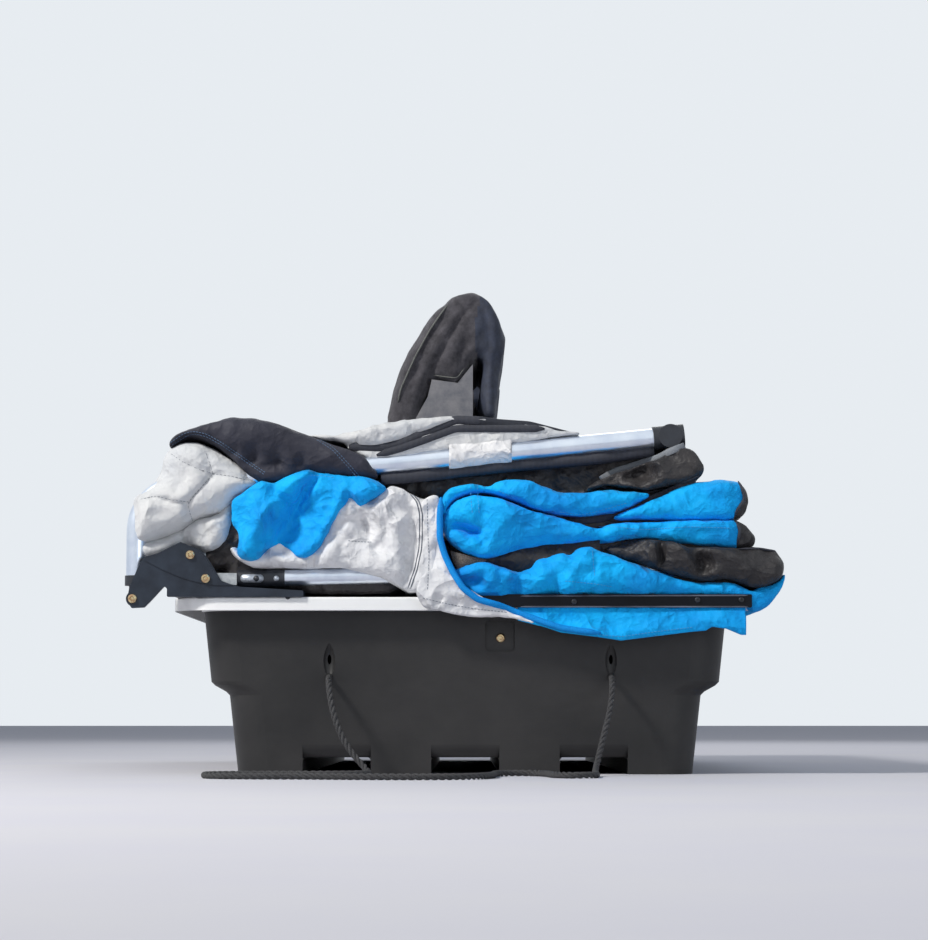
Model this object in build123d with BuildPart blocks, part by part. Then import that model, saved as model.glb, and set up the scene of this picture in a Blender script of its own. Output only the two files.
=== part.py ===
from build123d import *
import os

# Two-person flip-over ice shelter, folded down on its moulded tow sled.
# X runs across the sled, hinge side at -X. Y runs along it, tow end at -Y.
# Z is up, and the runners stand on Z = 0. All sizes are millimetres, measured from the middle
# of the sled. The hinge side stands out further than the folds do, so at the end every piece is
# moved over by half the difference, which puts the origin in the middle of the whole footprint.

hinge_overhang = 16.5
gap = 0.3

# Sled hull
rim_half_x = 472
rim_half_y = 760
rim_low = 262
rim_top = 283
rim_corner = 72
rim_lip = 4
wall = 6
hull_corner = 56
hull_top_x = rim_half_x - 46
hull_step_x = hull_top_x - 12
hull_waist_x = hull_step_x - 30
hull_foot_x = hull_waist_x - 14
step_low = 133
step_high = step_low + 10
end_slope = 0.07
hull_top_y = rim_half_y - 30
hull_step_y = hull_top_y - end_slope * (rim_low - step_high)
hull_waist_y = hull_step_y - end_slope * (step_high - step_low)
hull_foot_y = hull_waist_y - end_slope * step_low
step_soft = 6
hull_levels = (
    (0, hull_foot_x),
    (step_low - step_soft, hull_waist_x),
    (step_low, hull_waist_x + step_soft),
    (step_high, hull_step_x - step_soft),
    (step_high + step_soft, hull_step_x),
    (rim_low, hull_top_x),
)
floor_top = 33
tunnel_high = floor_top - wall
tunnel_wide = 110
tunnel_pitch = 207
tunnel_corner = 6
runner_corner = 20
flare_high = tunnel_high + 24
flare_deep = 26
flare_top_y = hull_foot_y + end_slope * flare_high
recess_x = 56
recess_z = 222
recess_wide = 48
recess_high = 50
dimple_high = 56
dimple_low = 8
dimple_wide = 10

# Bow tubes
top_tube_dia = 32
low_tube_dia = 26
tube_wall = 1.6
fit = 0.15
bow_y = rim_half_y - 20
knee_x = -rim_half_x - 58
knee_z = 459
knee_radius = 75
top_rise = 45 / 461
top_end_x = 331
top_end_z = knee_z + (top_end_x - knee_x) * top_rise
mid_bow_y = bow_y - 28
mid_pivot_x = -rim_half_x + 32
mid_pivot_z = rim_top + 67
mid_end_x = 428
mid_end_z = 434
low_pivot_x = -rim_half_x + 58
low_pivot_z = rim_top + 29
low_end_x = rim_half_x + 14
low_end_z = low_pivot_z + 20
pivot_x = knee_x
pivot_z = 280
pivot_round = 12.4
socket_low = pivot_z + 22
socket_high = socket_low + 16
socket_neck = 11
bow_corner = 40
fork_reach = 60
sleeve_dia = low_tube_dia + 3
elbow_dia = top_tube_dia + 6

# Hinge bracket
boss_dia = 24
plate_back = rim_half_y - 2
plate_front = plate_back + 8
plate_proud = 2
foot_thick = 9
bolt_hole_dia = 8.6

# Seats
seat_y = 340
seat_left = -rim_half_x + 87
back_top = 819
back_half_wide = 200
cushion_half_wide = back_half_wide + 15
rail_size = 25
rail_wall = 2
rail_half_y = hull_foot_y - flare_deep - 2 * wall
rail_left = -255
rail_right = -45
stand_high = 205
pan_high = stand_high + 20
cushion_high = pan_high + 77

# Cloth
cloth_front = rim_half_y + 8
cloth_back = rim_half_y - 3
well_half_y = seat_y + cushion_half_wide + 1
well_left = -250
well_right = 215
rim_rest = rim_top + gap
skirt_half_y = rim_half_y - 90
strip_thick = 8
strip_left = -61
hinge_strip_thick = 6

# Tow rope
rope_dia = 10
rope_hole_dia = rope_dia + 1.2
rope_left_x = -219
rope_right_x = 235
rope_hole_z = 156
knot_dia = 26
dimple_y = -hull_waist_y - end_slope * (rope_hole_z - step_low) - dimple_wide / 2

# Sled hull
with BuildPart() as sled_tub:
    # the step runs along the sides only: the end faces keep one slope from the foot to the rim
    for low, high in zip(hull_levels, hull_levels[1:]):
        with BuildSketch(Plane.XY.offset(low[0])):
            RectangleRounded(2 * low[1], 2 * (hull_foot_y + end_slope * low[0]), hull_corner)
        with BuildSketch(Plane.XY.offset(high[0])):
            RectangleRounded(2 * high[1], 2 * (hull_foot_y + end_slope * high[0]), hull_corner)
        loft()
    # the inside follows the outside, one wall in
    with BuildSketch(Plane.XY.offset(floor_top)):
        RectangleRounded(2 * (hull_foot_x + 4 - wall), 2 * (hull_foot_y + 1 - wall), hull_corner - wall)
    with BuildSketch(Plane.XY.offset(step_low + step_soft)):
        RectangleRounded(2 * (hull_waist_x - wall), 2 * (hull_waist_y - wall), hull_corner - wall)
    loft(mode=Mode.SUBTRACT)
    with BuildSketch(Plane.XY.offset(step_low + step_soft)):
        RectangleRounded(2 * (hull_waist_x - wall), 2 * (hull_waist_y - wall), hull_corner - wall)
    with BuildSketch(Plane.XY.offset(step_high + step_soft)):
        RectangleRounded(2 * (hull_step_x - wall), 2 * (hull_step_y - wall), hull_corner - wall)
    loft(mode=Mode.SUBTRACT)
    with BuildSketch(Plane.XY.offset(step_high + step_soft)):
        RectangleRounded(2 * (hull_step_x - wall), 2 * (hull_step_y - wall), hull_corner - wall)
    with BuildSketch(Plane.XY.offset(rim_low)):
        RectangleRounded(2 * (hull_top_x - wall), 2 * (hull_top_y - wall), hull_corner - wall)
    loft(mode=Mode.SUBTRACT)
    # three tunnels run the whole length under the floor, so four runners stand on the snow
    with BuildSketch(Plane.XZ.offset(rim_half_y)):
        with Locations((-tunnel_pitch, 0), (0, 0), (tunnel_pitch, 0)):
            RectangleRounded(tunnel_wide, 2 * tunnel_high, tunnel_corner)
    extrude(amount=-2 * rim_half_y, mode=Mode.SUBTRACT)
    # the runners are hollow from inside
    inner_runner = tunnel_pitch - tunnel_wide - 2 * wall
    outer_runner = hull_foot_x - tunnel_pitch - tunnel_wide / 2 - 2 * wall
    outer_runner_x = tunnel_pitch + tunnel_wide / 2 + wall + outer_runner / 2
    with BuildSketch(Plane.XY.offset(wall)):
        with Locations((-tunnel_pitch / 2, 0), (tunnel_pitch / 2, 0)):
            RectangleRounded(inner_runner, 2 * (hull_foot_y - 2 * wall), runner_corner)
        with Locations((-outer_runner_x, 0), (outer_runner_x, 0)):
            RectangleRounded(outer_runner, 2 * (hull_foot_y - 3 * wall), runner_corner)
    extrude(amount=floor_top, mode=Mode.SUBTRACT)
    # over each tunnel mouth the end face curves in to the tunnel's roof
    for tunnel_x in (-tunnel_pitch, 0, tunnel_pitch):
        for end in (-1, 1):
            with BuildSketch(Plane.YZ.offset(tunnel_x - tunnel_wide / 2 - wall)):
                with BuildLine():
                    TangentArc(
                        (end * (hull_foot_y - wall), flare_high + wall),
                        (end * (hull_foot_y - flare_deep - wall), floor_top - 1),
                        tangent=(0, -1),
                    )
                    Polyline(
                        (end * (hull_foot_y - flare_deep - wall), floor_top - 1),
                        (end * (hull_foot_y - 1), floor_top - 1),
                        (end * (hull_foot_y - 1), flare_high + wall),
                        (end * (hull_foot_y - wall), flare_high + wall),
                    )
                make_face()
            extrude(amount=tunnel_wide + 2 * wall)
            with BuildSketch(Plane.YZ.offset(tunnel_x - tunnel_wide / 2)):
                with BuildLine():
                    TangentArc(
                        (end * flare_top_y, flare_high),
                        (end * (hull_foot_y - flare_deep), tunnel_high - 1),
                        tangent=(0, -1),
                    )
                    Polyline(
                        (end * (hull_foot_y - flare_deep), tunnel_high - 1),
                        (end * (hull_foot_y + 10), tunnel_high - 1),
                        (end * (hull_foot_y + 10), flare_high),
                        (end * flare_top_y, flare_high),
                    )
                make_face()
            extrude(amount=tunnel_wide, mode=Mode.SUBTRACT)
    # rope holes in the tow end
    with BuildSketch(Plane.XZ.offset(hull_foot_y - 30)):
        with Locations((rope_left_x, rope_hole_z), (rope_right_x, rope_hole_z)):
            Circle(rope_hole_dia / 2)
    extrude(amount=60, mode=Mode.SUBTRACT)
    # a teardrop dimple runs up the wall from each rope hole
    for rope_x in (rope_left_x, rope_right_x):
        with BuildSketch(Plane.YZ.offset(rope_x)):
            with BuildLine():
                ThreePointArc(
                    (dimple_y, rope_hole_z - dimple_low),
                    (dimple_y + dimple_wide, rope_hole_z + (dimple_high - dimple_low) / 2),
                    (dimple_y, rope_hole_z + dimple_high),
                )
                Line((dimple_y, rope_hole_z + dimple_high), (dimple_y, rope_hole_z - dimple_low))
            make_face()
        revolve(axis=Axis((rope_x, dimple_y, 0), (0, 0, 1)), mode=Mode.SUBTRACT)
    # bolt recess high in the tow end, backed by a pad inside the wall
    with BuildSketch(Plane.XZ.offset(hull_step_y - wall)):
        with Locations((recess_x, recess_z)):
            Rectangle(recess_wide + 2 * wall, recess_high + 2 * wall)
    extrude(amount=wall)
    with BuildSketch(Plane.XZ.offset(hull_step_y)):
        with Locations((recess_x, recess_z)):
            RectangleRounded(recess_wide, recess_high, 8)
    extrude(amount=40, mode=Mode.SUBTRACT)
    with BuildSketch(Plane.XZ.offset(hull_foot_y - 30)):
        with Locations((recess_x, recess_z)):
            Circle(bolt_hole_dia / 2)
    extrude(amount=60, mode=Mode.SUBTRACT)
sled_tub.part.label = "sled_tub"

with BuildPart() as sled_rim:
    with BuildSketch(Plane.XY.offset(rim_low)):
        RectangleRounded(2 * rim_half_x, 2 * rim_half_y, rim_corner)
        RectangleRounded(
            2 * (hull_top_x - 2 * wall), 2 * (hull_top_y - 2 * wall), hull_corner - 2 * wall, mode=Mode.SUBTRACT
        )
    extrude(amount=rim_top - rim_low)
    with BuildSketch(Plane.XY.offset(rim_low)):
        RectangleRounded(2 * (rim_half_x - rim_lip), 2 * (rim_half_y - rim_lip), rim_corner - rim_lip)
        RectangleRounded(
            2 * (hull_top_x + rim_lip), 2 * (hull_top_y + rim_lip), hull_corner + rim_lip, mode=Mode.SUBTRACT
        )
    extrude(amount=rim_top - rim_low - rim_lip, mode=Mode.SUBTRACT)
    fillet(sled_rim.faces().sort_by(Axis.Z)[-1].outer_wire().edges(), 3)
sled_rim.part.label = "sled_rim"

# Bows
# Top bow arm: up from its socket, round the knee, then a straight run that rises to the right.
with BuildPart() as near_top_arm:
    with BuildLine(Plane.XZ.offset(bow_y)) as top_path:
        FilletPolyline(
            (knee_x, socket_low + 3),
            (knee_x, knee_z),
            (top_end_x - 12, top_end_z - 12 * top_rise),
            radius=knee_radius,
        )
    with BuildSketch(Plane(top_path.line @ 0, z_dir=top_path.line % 0)):
        Circle(top_tube_dia / 2)
        Circle(top_tube_dia / 2 - tube_wall, mode=Mode.SUBTRACT)
    sweep(path=top_path.line)
near_top_arm.part.label = "near_top_arm"

# Black socket that takes the foot of the arm; its round lug turns on the first bolt.
with BuildPart() as near_socket:
    with BuildSketch(Plane.XY.offset(socket_low)):
        with Locations((knee_x, -bow_y)):
            Circle(top_tube_dia / 2 + 1.8)
    extrude(amount=socket_high - socket_low)
    with BuildSketch(Plane.XY.offset(pivot_z)):
        with Locations((knee_x, -bow_y)):
            Circle(socket_neck)
    extrude(amount=socket_low - pivot_z)
    with BuildSketch(Plane.XY.offset(socket_low + 3)):
        with Locations((knee_x, -bow_y)):
            Circle(top_tube_dia / 2 + fit)
    extrude(amount=socket_high, mode=Mode.SUBTRACT)
    with BuildSketch(Plane.XZ.offset(bow_y - socket_neck)):
        with Locations((pivot_x, pivot_z)):
            Circle(pivot_round)
    extrude(amount=plate_back - gap - bow_y + socket_neck)
    with BuildSketch(Plane.XZ.offset(plate_back + 1)):
        with Locations((pivot_x, pivot_z)):
            Circle(bolt_hole_dia / 2)
    extrude(amount=-12, mode=Mode.SUBTRACT)
near_socket.part.label = "near_socket"

# Mid bow: one tube from the second bolt, through the middle fold, and back to the far bracket.
# It nests inside the other two bows, so a boss on the bracket reaches in to it.
with BuildPart() as mid_bow:
    with BuildLine() as mid_path:
        FilletPolyline(
            (mid_pivot_x, -mid_bow_y, mid_pivot_z),
            (mid_end_x, -mid_bow_y, mid_end_z),
            (mid_end_x, mid_bow_y, mid_end_z),
            (mid_pivot_x, mid_bow_y, mid_pivot_z),
            radius=bow_corner,
        )
    with BuildSketch(Plane(mid_path.line @ 0, z_dir=mid_path.line % 0)):
        Circle(low_tube_dia / 2)
        Circle(low_tube_dia / 2 - tube_wall, mode=Mode.SUBTRACT)
    sweep(path=mid_path.line)
mid_bow.part.label = "mid_bow"

# Low bow: the tube seen under the cloth, with a sliding lock sleeve and a zinc fork at each end.
low_run_x = low_end_x - low_pivot_x
low_run_z = low_end_z - low_pivot_z
low_rise = low_run_z / low_run_x
with BuildPart() as low_bow:
    with BuildLine() as low_path:
        FilletPolyline(
            (low_pivot_x + fork_reach, -bow_y, low_pivot_z + fork_reach * low_rise),
            (low_end_x, -bow_y, low_end_z),
            (low_end_x, bow_y, low_end_z),
            (low_pivot_x + fork_reach, bow_y, low_pivot_z + fork_reach * low_rise),
            radius=bow_corner,
        )
    with BuildSketch(Plane(low_path.line @ 0, z_dir=low_path.line % 0)):
        Circle(low_tube_dia / 2)
        Circle(low_tube_dia / 2 - tube_wall, mode=Mode.SUBTRACT)
    sweep(path=low_path.line)
low_bow.part.label = "low_bow"

with BuildPart() as near_lock_sleeve:
    with BuildSketch(
        Plane((low_pivot_x + fork_reach - 12, -bow_y, low_pivot_z + 1.05), z_dir=(low_run_x, 0, low_run_z))
    ):
        Circle(sleeve_dia / 2)
    extrude(amount=76)
    with BuildSketch(Plane(low_path.line @ 0, z_dir=low_path.line % 0)):
        Circle(low_tube_dia / 2 + fit)
    extrude(amount=90, mode=Mode.SUBTRACT)
near_lock_sleeve.part.label = "near_lock_sleeve"

with BuildPart() as near_low_fork:
    with BuildSketch(Plane.XZ.offset(bow_y - 4)):
        with Locations((low_pivot_x, low_pivot_z)):
            Circle(11)
        with Locations((low_pivot_x + 24 - gap / 2, low_pivot_z)):
            Rectangle(48 - gap, 19)
    extrude(amount=plate_back - bow_y + 4 - gap)
    with BuildSketch(Plane.XZ.offset(bow_y - 5)):
        with Locations((low_pivot_x, low_pivot_z)):
            Circle(bolt_hole_dia / 2)
    extrude(amount=40, mode=Mode.SUBTRACT)
near_low_fork.part.label = "near_low_fork"

# Elbow at the far end of the top arm: one socket for the arm, one for the crossbar.
with BuildPart() as near_elbow:
    with BuildSketch(Plane((top_end_x - 27, -bow_y, top_end_z - 27 * top_rise), z_dir=(1, 0, top_rise))):
        Circle(elbow_dia / 2)
    extrude(amount=50)
    with BuildSketch(Plane.XZ.offset(bow_y + elbow_dia / 2)):
        with Locations((top_end_x, top_end_z)):
            Circle(elbow_dia / 2)
    extrude(amount=-60)
    with BuildSketch(Plane((top_end_x - 28, -bow_y, top_end_z - 28 * top_rise), z_dir=(1, 0, top_rise))):
        Circle(top_tube_dia / 2 + fit)
    extrude(amount=16.2, mode=Mode.SUBTRACT)
    with BuildSketch(Plane.XZ.offset(bow_y - 16)):
        with Locations((top_end_x, top_end_z)):
            Circle(top_tube_dia / 2 + fit)
    extrude(amount=-30, mode=Mode.SUBTRACT)
near_elbow.part.label = "near_elbow"

with BuildPart() as top_crossbar:
    with BuildSketch(Plane.XZ.offset(bow_y - 16.2)):
        with Locations((top_end_x, top_end_z)):
            Circle(top_tube_dia / 2)
            Circle(top_tube_dia / 2 - tube_wall, mode=Mode.SUBTRACT)
    extrude(amount=-2 * (bow_y - 16.2))
top_crossbar.part.label = "top_crossbar"

# Space that the bows take out of the folded cloth.
with BuildPart() as bow_room:
    with BuildSketch(Plane(top_path.line @ 0, z_dir=top_path.line % 0)):
        Circle(top_tube_dia / 2 + gap)
    sweep(path=top_path.line)
    with BuildSketch(Plane((low_pivot_x + 40, -bow_y, low_pivot_z + 1), z_dir=(low_run_x, 0, low_run_z))):
        Circle(sleeve_dia / 2 + gap)
    extrude(amount=90)
    with BuildSketch(Plane((top_end_x - 28, -bow_y, top_end_z - 28 * top_rise), z_dir=(1, 0, top_rise))):
        Circle(elbow_dia / 2 + gap)
    extrude(amount=52)
    with BuildSketch(Plane.XZ.offset(bow_y + 60)):
        with Locations((top_end_x, top_end_z)):
            Circle(elbow_dia / 2 + gap)
    extrude(amount=-102)
    mirror(about=Plane.XZ)
    with BuildSketch(Plane.XZ.offset(bow_y)):
        with Locations((top_end_x, top_end_z)):
            Circle(top_tube_dia / 2 + gap)
    extrude(amount=-2 * bow_y)
    with BuildSketch(Plane(mid_path.line @ 0, z_dir=mid_path.line % 0)):
        Circle(low_tube_dia / 2 + gap)
    sweep(path=mid_path.line)
    with BuildSketch(Plane(low_path.line @ 0, z_dir=low_path.line % 0)):
        Circle(low_tube_dia / 2 + gap)
    sweep(path=low_path.line)
    for end in (-1, 1):
        with BuildSketch(Plane.XZ.offset(end * mid_bow_y)):
            with Locations((mid_pivot_x, mid_pivot_z)):
                Circle(boss_dia / 2 + gap)
        extrude(amount=end * (plate_front - mid_bow_y))

# Brackets
with BuildPart() as near_bracket:
    with BuildSketch(Plane.XZ.offset(plate_back)):
        with BuildLine():
            Polyline(
                (pivot_x - 11, pivot_z - 4), (pivot_x - 7, pivot_z + 19), (mid_pivot_x - 80, mid_pivot_z - 11),
                (mid_pivot_x - 75, mid_pivot_z - 3), (mid_pivot_x - 54, mid_pivot_z + 2),
                (mid_pivot_x - 16, mid_pivot_z + 21), (mid_pivot_x + 16, mid_pivot_z + 8),
                (low_pivot_x + 2, low_pivot_z + 32), (low_pivot_x + 25, low_pivot_z - 5),
                (low_pivot_x + 54, rim_top + 16), (low_pivot_x + 155, rim_top + 10),
                (low_pivot_x + 155, rim_top), (-rim_half_x - 5, rim_top), (-rim_half_x - 5, rim_top + 13),
                (-rim_half_x - 9, rim_top + 17), (pivot_x + 26, pivot_z - 5), (pivot_x + 17, pivot_z - 14),
                (pivot_x - 3, pivot_z - 15),
                close=True,
            )
        make_face()
        fillet(vertices(), 2)
        with Locations((pivot_x, pivot_z)):
            Circle(pivot_round)
    extrude(amount=plate_front - plate_back)
    # the upper part of the plate stands proud, with a curved lower edge
    with BuildSketch(Plane.XZ.offset(plate_front)):
        with BuildLine():
            Polyline(
                (mid_pivot_x - 74, mid_pivot_z - 8), (mid_pivot_x - 53, mid_pivot_z - 1),
                (mid_pivot_x - 16, mid_pivot_z + 17), (mid_pivot_x + 14, mid_pivot_z + 5),
                (low_pivot_x - 1, low_pivot_z + 31), (low_pivot_x + 20, low_pivot_z - 2),
                (low_pivot_x + 42, low_pivot_z - 10),
            )
            Spline(
                (low_pivot_x + 42, low_pivot_z - 10), (low_pivot_x - 8, low_pivot_z - 7),
                (low_pivot_x - 46, low_pivot_z + 4), (mid_pivot_x - 74, mid_pivot_z - 8),
            )
        make_face()
    extrude(amount=plate_proud)
    # boss for the mid bow
    with BuildSketch(Plane.XZ.offset(mid_bow_y + low_tube_dia / 2 + gap)):
        with Locations((mid_pivot_x, mid_pivot_z)):
            Circle(boss_dia / 2)
    extrude(amount=plate_back - mid_bow_y - low_tube_dia / 2 - gap)
    with BuildSketch(Plane.XY.offset(rim_top)):
        with Locations((low_pivot_x + 52, -plate_back + 24)):
            Rectangle(206, 50)
    extrude(amount=foot_thick)
    with BuildSketch(Plane.XZ.offset(mid_bow_y)):
        with Locations((pivot_x, pivot_z), (mid_pivot_x, mid_pivot_z), (low_pivot_x, low_pivot_z)):
            Circle(bolt_hole_dia / 2)
    extrude(amount=plate_front + 2 * plate_proud - mid_bow_y, mode=Mode.SUBTRACT)
near_bracket.part.label = "near_bracket"

# Clamp strips
with BuildPart() as near_strip:
    with BuildSketch(Plane.XZ.offset(rim_half_y)):
        with Locations(((rim_half_x - 14 + strip_left) / 2, rim_low + 14.5)):
            RectangleRounded(rim_half_x - 14 - strip_left, 21, 2)
    extrude(amount=strip_thick)
near_strip.part.label = "near_strip"

with BuildPart() as hinge_strip:
    with BuildSketch(Plane.XY.offset(rim_top)):
        with Locations((-rim_half_x + 18, 0)):
            Rectangle(26, 2 * skirt_half_y)
    extrude(amount=hinge_strip_thick)
hinge_strip.part.label = "hinge_strip"

# Cloth
# Cross-sections of the folded layers in X and Z, as the tow end shows them. A layer is drawn
# a little into the one that it lies on, and gives way to it by the gap when it is made.
with BuildSketch() as bulge_outline:
    with BuildLine():
        Polyline(
            (-512, 375), (-536, 392), (-541, 420), (-530, 440), (-506, 462), (-489, 488), (-479, 519),
            (-454, 531), (-416, 526), (-326, 467), (-372, 429), (-402, 416), (-440, 402), (-480, 386),
            close=True,
        )
    make_face()

with BuildSketch() as roll_outline:
    with BuildLine():
        Polyline(
            (-511, 360), (-480, 352), (-440, 351), (-420, 356), (-395, 370), (-374, 392), (-370, 430),
            (-402, 430), (-480, 400), (-511, 380),
            close=True,
        )
    make_face()

with BuildSketch() as roof_outline:
    with BuildLine():
        Polyline(
            (-480, 515), (-475, 539), (-461, 549), (-424, 562), (-373, 574), (-333, 571), (-296, 560),
            (-264, 547), (-224, 534), (-184, 518), (-160, 508), (-140, 479), (-192, 480), (-251, 491),
            (-288, 477), (-325, 460), (-416, 515),
            close=True,
        )
    make_face()

with BuildSketch() as drape_outline:
    with BuildLine():
        Polyline(
            (-385, 432), (-335, 475), (-251, 500), (-150, 482), (-118, 461), (-165, 427), (-180, 420),
            (-208, 408), (-232, 368), (-259, 341), (-272, 360), (-304, 360), (-325, 339), (-365, 344),
            (-369, 384),
            close=True,
        )
    make_face()

with BuildSketch() as side_outline:
    with BuildLine():
        Polyline(
            (-270, 345), (-190, 425), (-117, 461), (-80, 448), (-36, 446), (-32, 376), (-22, 330),
            (20, 302), (20, rim_rest), (-70, rim_rest), (-104, 300), (-152, 327), (-240, 328),
            close=True,
        )
    make_face()

with BuildSketch() as dark_outline:
    with BuildLine():
        Polyline(
            (216, 366), (280, 379), (336, 374), (376, 362), (432, 362), (488, 360), (507, 346), (513, 331),
            (501, 315), (464, 299), (432, 304), (376, 307), (344, 315), (280, 331), (216, 344),
            close=True,
        )
    make_face()

with BuildSketch() as lower_outline:
    with BuildLine():
        Polyline(
            (-30, 330), (-30, 343), (35, 341), (88, 328), (152, 340), (216, 350), (432, 340), (490, 318),
            (rim_half_x + 40, 325), (rim_half_x + 21, 285), (rim_half_x + 10, rim_low + 1),
            (rim_half_x + 2, rim_low + 1), (rim_half_x + 2, rim_rest), (10, rim_rest),
            close=True,
        )
    make_face()

with BuildSketch() as middle_outline:
    with BuildLine():
        Polyline(
            (-40, 376), (-30, 335), (35, 335), (88, 320), (216, 340), (230, 360), (432, 355), (467, 376),
            (459, 402), (432, 408), (-40, 410),
            close=True,
        )
    make_face()

with BuildSketch() as upper_outline:
    with BuildLine():
        Polyline(
            (-40, 405), (-40, 445), (-16, 459), (16, 466), (56, 469), (91, 474), (133, 462), (184, 453),
            (235, 456), (280, 453), (360, 469), (432, 470), (453, 453), (457, 424), (437, 400),
            close=True,
        )
    make_face()

with BuildSketch() as window_outline:
    with BuildLine():
        Polyline(
            (216, 452), (280, 449), (360, 466), (384, 488), (376, 512), (361, 540), (350, 560),
            (331, 566), (312, 560), (304, 541), (312, 517), (280, 480), (216, 469),
            close=True,
        )
    make_face()

with BuildSketch() as quilt_outline:
    with BuildLine():
        Polyline(
            (-222, 528), (-200, 552), (-136, 565), (-72, 574), (-32, 579), (24, 578), (88, 571), (152, 562),
            (200, 549), (200, 534), (-24, 512), (-136, 500), (-165, 505),
            close=True,
        )
    make_face()

# The seats stand in an open well in the middle of the folded cloth.
with BuildPart() as seat_well:
    with BuildSketch(Plane.XY):
        with Locations(((well_left + well_right) / 2, 0)):
            Rectangle(well_right - well_left, 2 * well_half_y)
    extrude(amount=900)

with BuildPart() as hinge_skirt:
    with BuildSketch(Plane.XZ.offset(skirt_half_y)):
        with BuildLine():
            Polyline(
                (-rim_half_x + 9, rim_top + hinge_strip_thick), (-rim_half_x + 15, 320),
                (-rim_half_x + 3, 360), (-rim_half_x + 25, 360), (-rim_half_x + 29, 320),
                (-rim_half_x + 25, rim_top + hinge_strip_thick),
                close=True,
            )
        make_face()
        offset(roll_outline.sketch, gap, mode=Mode.SUBTRACT)
    extrude(amount=-2 * skirt_half_y)
hinge_skirt.part.label = "hinge_skirt"

with BuildPart() as quilt_roll:
    with BuildSketch(Plane.XZ.offset(cloth_back)):
        add(roll_outline.sketch)
        offset(bulge_outline.sketch, gap, mode=Mode.SUBTRACT)
    extrude(amount=-2 * cloth_back)
    add(bow_room.part, mode=Mode.SUBTRACT)
quilt_roll.part.label = "quilt_roll"

with BuildPart() as quilt_bulge:
    with BuildSketch(Plane.XZ.offset(cloth_front)):
        add(bulge_outline.sketch)
    extrude(amount=-2 * cloth_front)
    add(bow_room.part, mode=Mode.SUBTRACT)
quilt_bulge.part.label = "quilt_bulge"

with BuildPart() as roof_panel:
    with BuildSketch(Plane.XZ.offset(cloth_front)):
        add(roof_outline.sketch)
        offset(bulge_outline.sketch, gap, mode=Mode.SUBTRACT)
    extrude(amount=-2 * cloth_front)
    add(bow_room.part, mode=Mode.SUBTRACT)
    add(seat_well.part, mode=Mode.SUBTRACT)
roof_panel.part.label = "roof_panel"

with BuildPart() as near_door_drape:
    with BuildSketch(Plane.XZ.offset(well_half_y)):
        add(drape_outline.sketch)
        offset(bulge_outline.sketch, gap, mode=Mode.SUBTRACT)
        offset(roll_outline.sketch, gap, mode=Mode.SUBTRACT)
        offset(roof_outline.sketch, gap, mode=Mode.SUBTRACT)
    extrude(amount=cloth_front - well_half_y)
    add(bow_room.part, mode=Mode.SUBTRACT)
near_door_drape.part.label = "near_door_drape"

# The grey side panel also hangs over the rim in front, outside the clamp strip.
with BuildPart() as near_side_panel:
    with BuildSketch(Plane.XZ.offset(well_half_y)):
        add(side_outline.sketch)
        offset(drape_outline.sketch, gap, mode=Mode.SUBTRACT)
    extrude(amount=cloth_back - well_half_y)
    with BuildSketch(Plane.XZ.offset(cloth_back - 10)):
        with BuildLine():
            Polyline((-70, 290), (-78, 420), (-50, 420), (-36, 340), (9, 303), (9, 290), close=True)
        make_face()
    extrude(amount=29)
    with BuildSketch(Plane.XZ.offset(rim_half_y + 9)):
        with BuildLine():
            Polyline((-64, 261), (-40, 253), (88, 246), (60, 262), (24, 300), (-64, 300), close=True)
        make_face()
    extrude(amount=7)
    add(bow_room.part, mode=Mode.SUBTRACT)
near_side_panel.part.label = "near_side_panel"

with BuildPart() as dark_fold:
    with BuildSketch(Plane.XZ.offset(cloth_front)):
        add(dark_outline.sketch)
    extrude(amount=-2 * cloth_front)
    add(bow_room.part, mode=Mode.SUBTRACT)
dark_fold.part.label = "dark_fold"

with BuildPart() as lower_fold:
    with BuildSketch(Plane.XZ.offset(cloth_back)):
        add(lower_outline.sketch)
        offset(dark_outline.sketch, gap, mode=Mode.SUBTRACT)
        offset(side_outline.sketch, gap, mode=Mode.SUBTRACT)
    extrude(amount=-2 * cloth_back)
    add(bow_room.part, mode=Mode.SUBTRACT)
    add(seat_well.part, mode=Mode.SUBTRACT)
lower_fold.part.label = "lower_fold"

with BuildPart() as middle_fold:
    with BuildSketch(Plane.XZ.offset(cloth_front)):
        add(middle_outline.sketch)
        offset(lower_outline.sketch, gap, mode=Mode.SUBTRACT)
        offset(dark_outline.sketch, gap, mode=Mode.SUBTRACT)
        offset(side_outline.sketch, gap, mode=Mode.SUBTRACT)
    extrude(amount=-2 * cloth_front)
    add(bow_room.part, mode=Mode.SUBTRACT)
    add(seat_well.part, mode=Mode.SUBTRACT)
middle_fold.part.label = "middle_fold"

with BuildPart() as upper_fold:
    with BuildSketch(Plane.XZ.offset(cloth_front)):
        add(upper_outline.sketch)
        offset(middle_outline.sketch, gap, mode=Mode.SUBTRACT)
        offset(side_outline.sketch, gap, mode=Mode.SUBTRACT)
    extrude(amount=-2 * cloth_front)
    add(bow_room.part, mode=Mode.SUBTRACT)
    add(seat_well.part, mode=Mode.SUBTRACT)
upper_fold.part.label = "upper_fold"

with BuildPart() as window_panel:
    with BuildSketch(Plane.XZ.offset(cloth_front)):
        add(window_outline.sketch)
        offset(upper_outline.sketch, gap, mode=Mode.SUBTRACT)
    extrude(amount=-2 * cloth_front)
    add(bow_room.part, mode=Mode.SUBTRACT)
window_panel.part.label = "window_panel"

with BuildPart() as near_top_quilt:
    with BuildSketch(Plane.XZ.offset(well_half_y)):
        add(quilt_outline.sketch)
        offset(roof_outline.sketch, gap, mode=Mode.SUBTRACT)
    extrude(amount=cloth_back - well_half_y)
    add(bow_room.part, mode=Mode.SUBTRACT)
near_top_quilt.part.label = "near_top_quilt"

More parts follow.
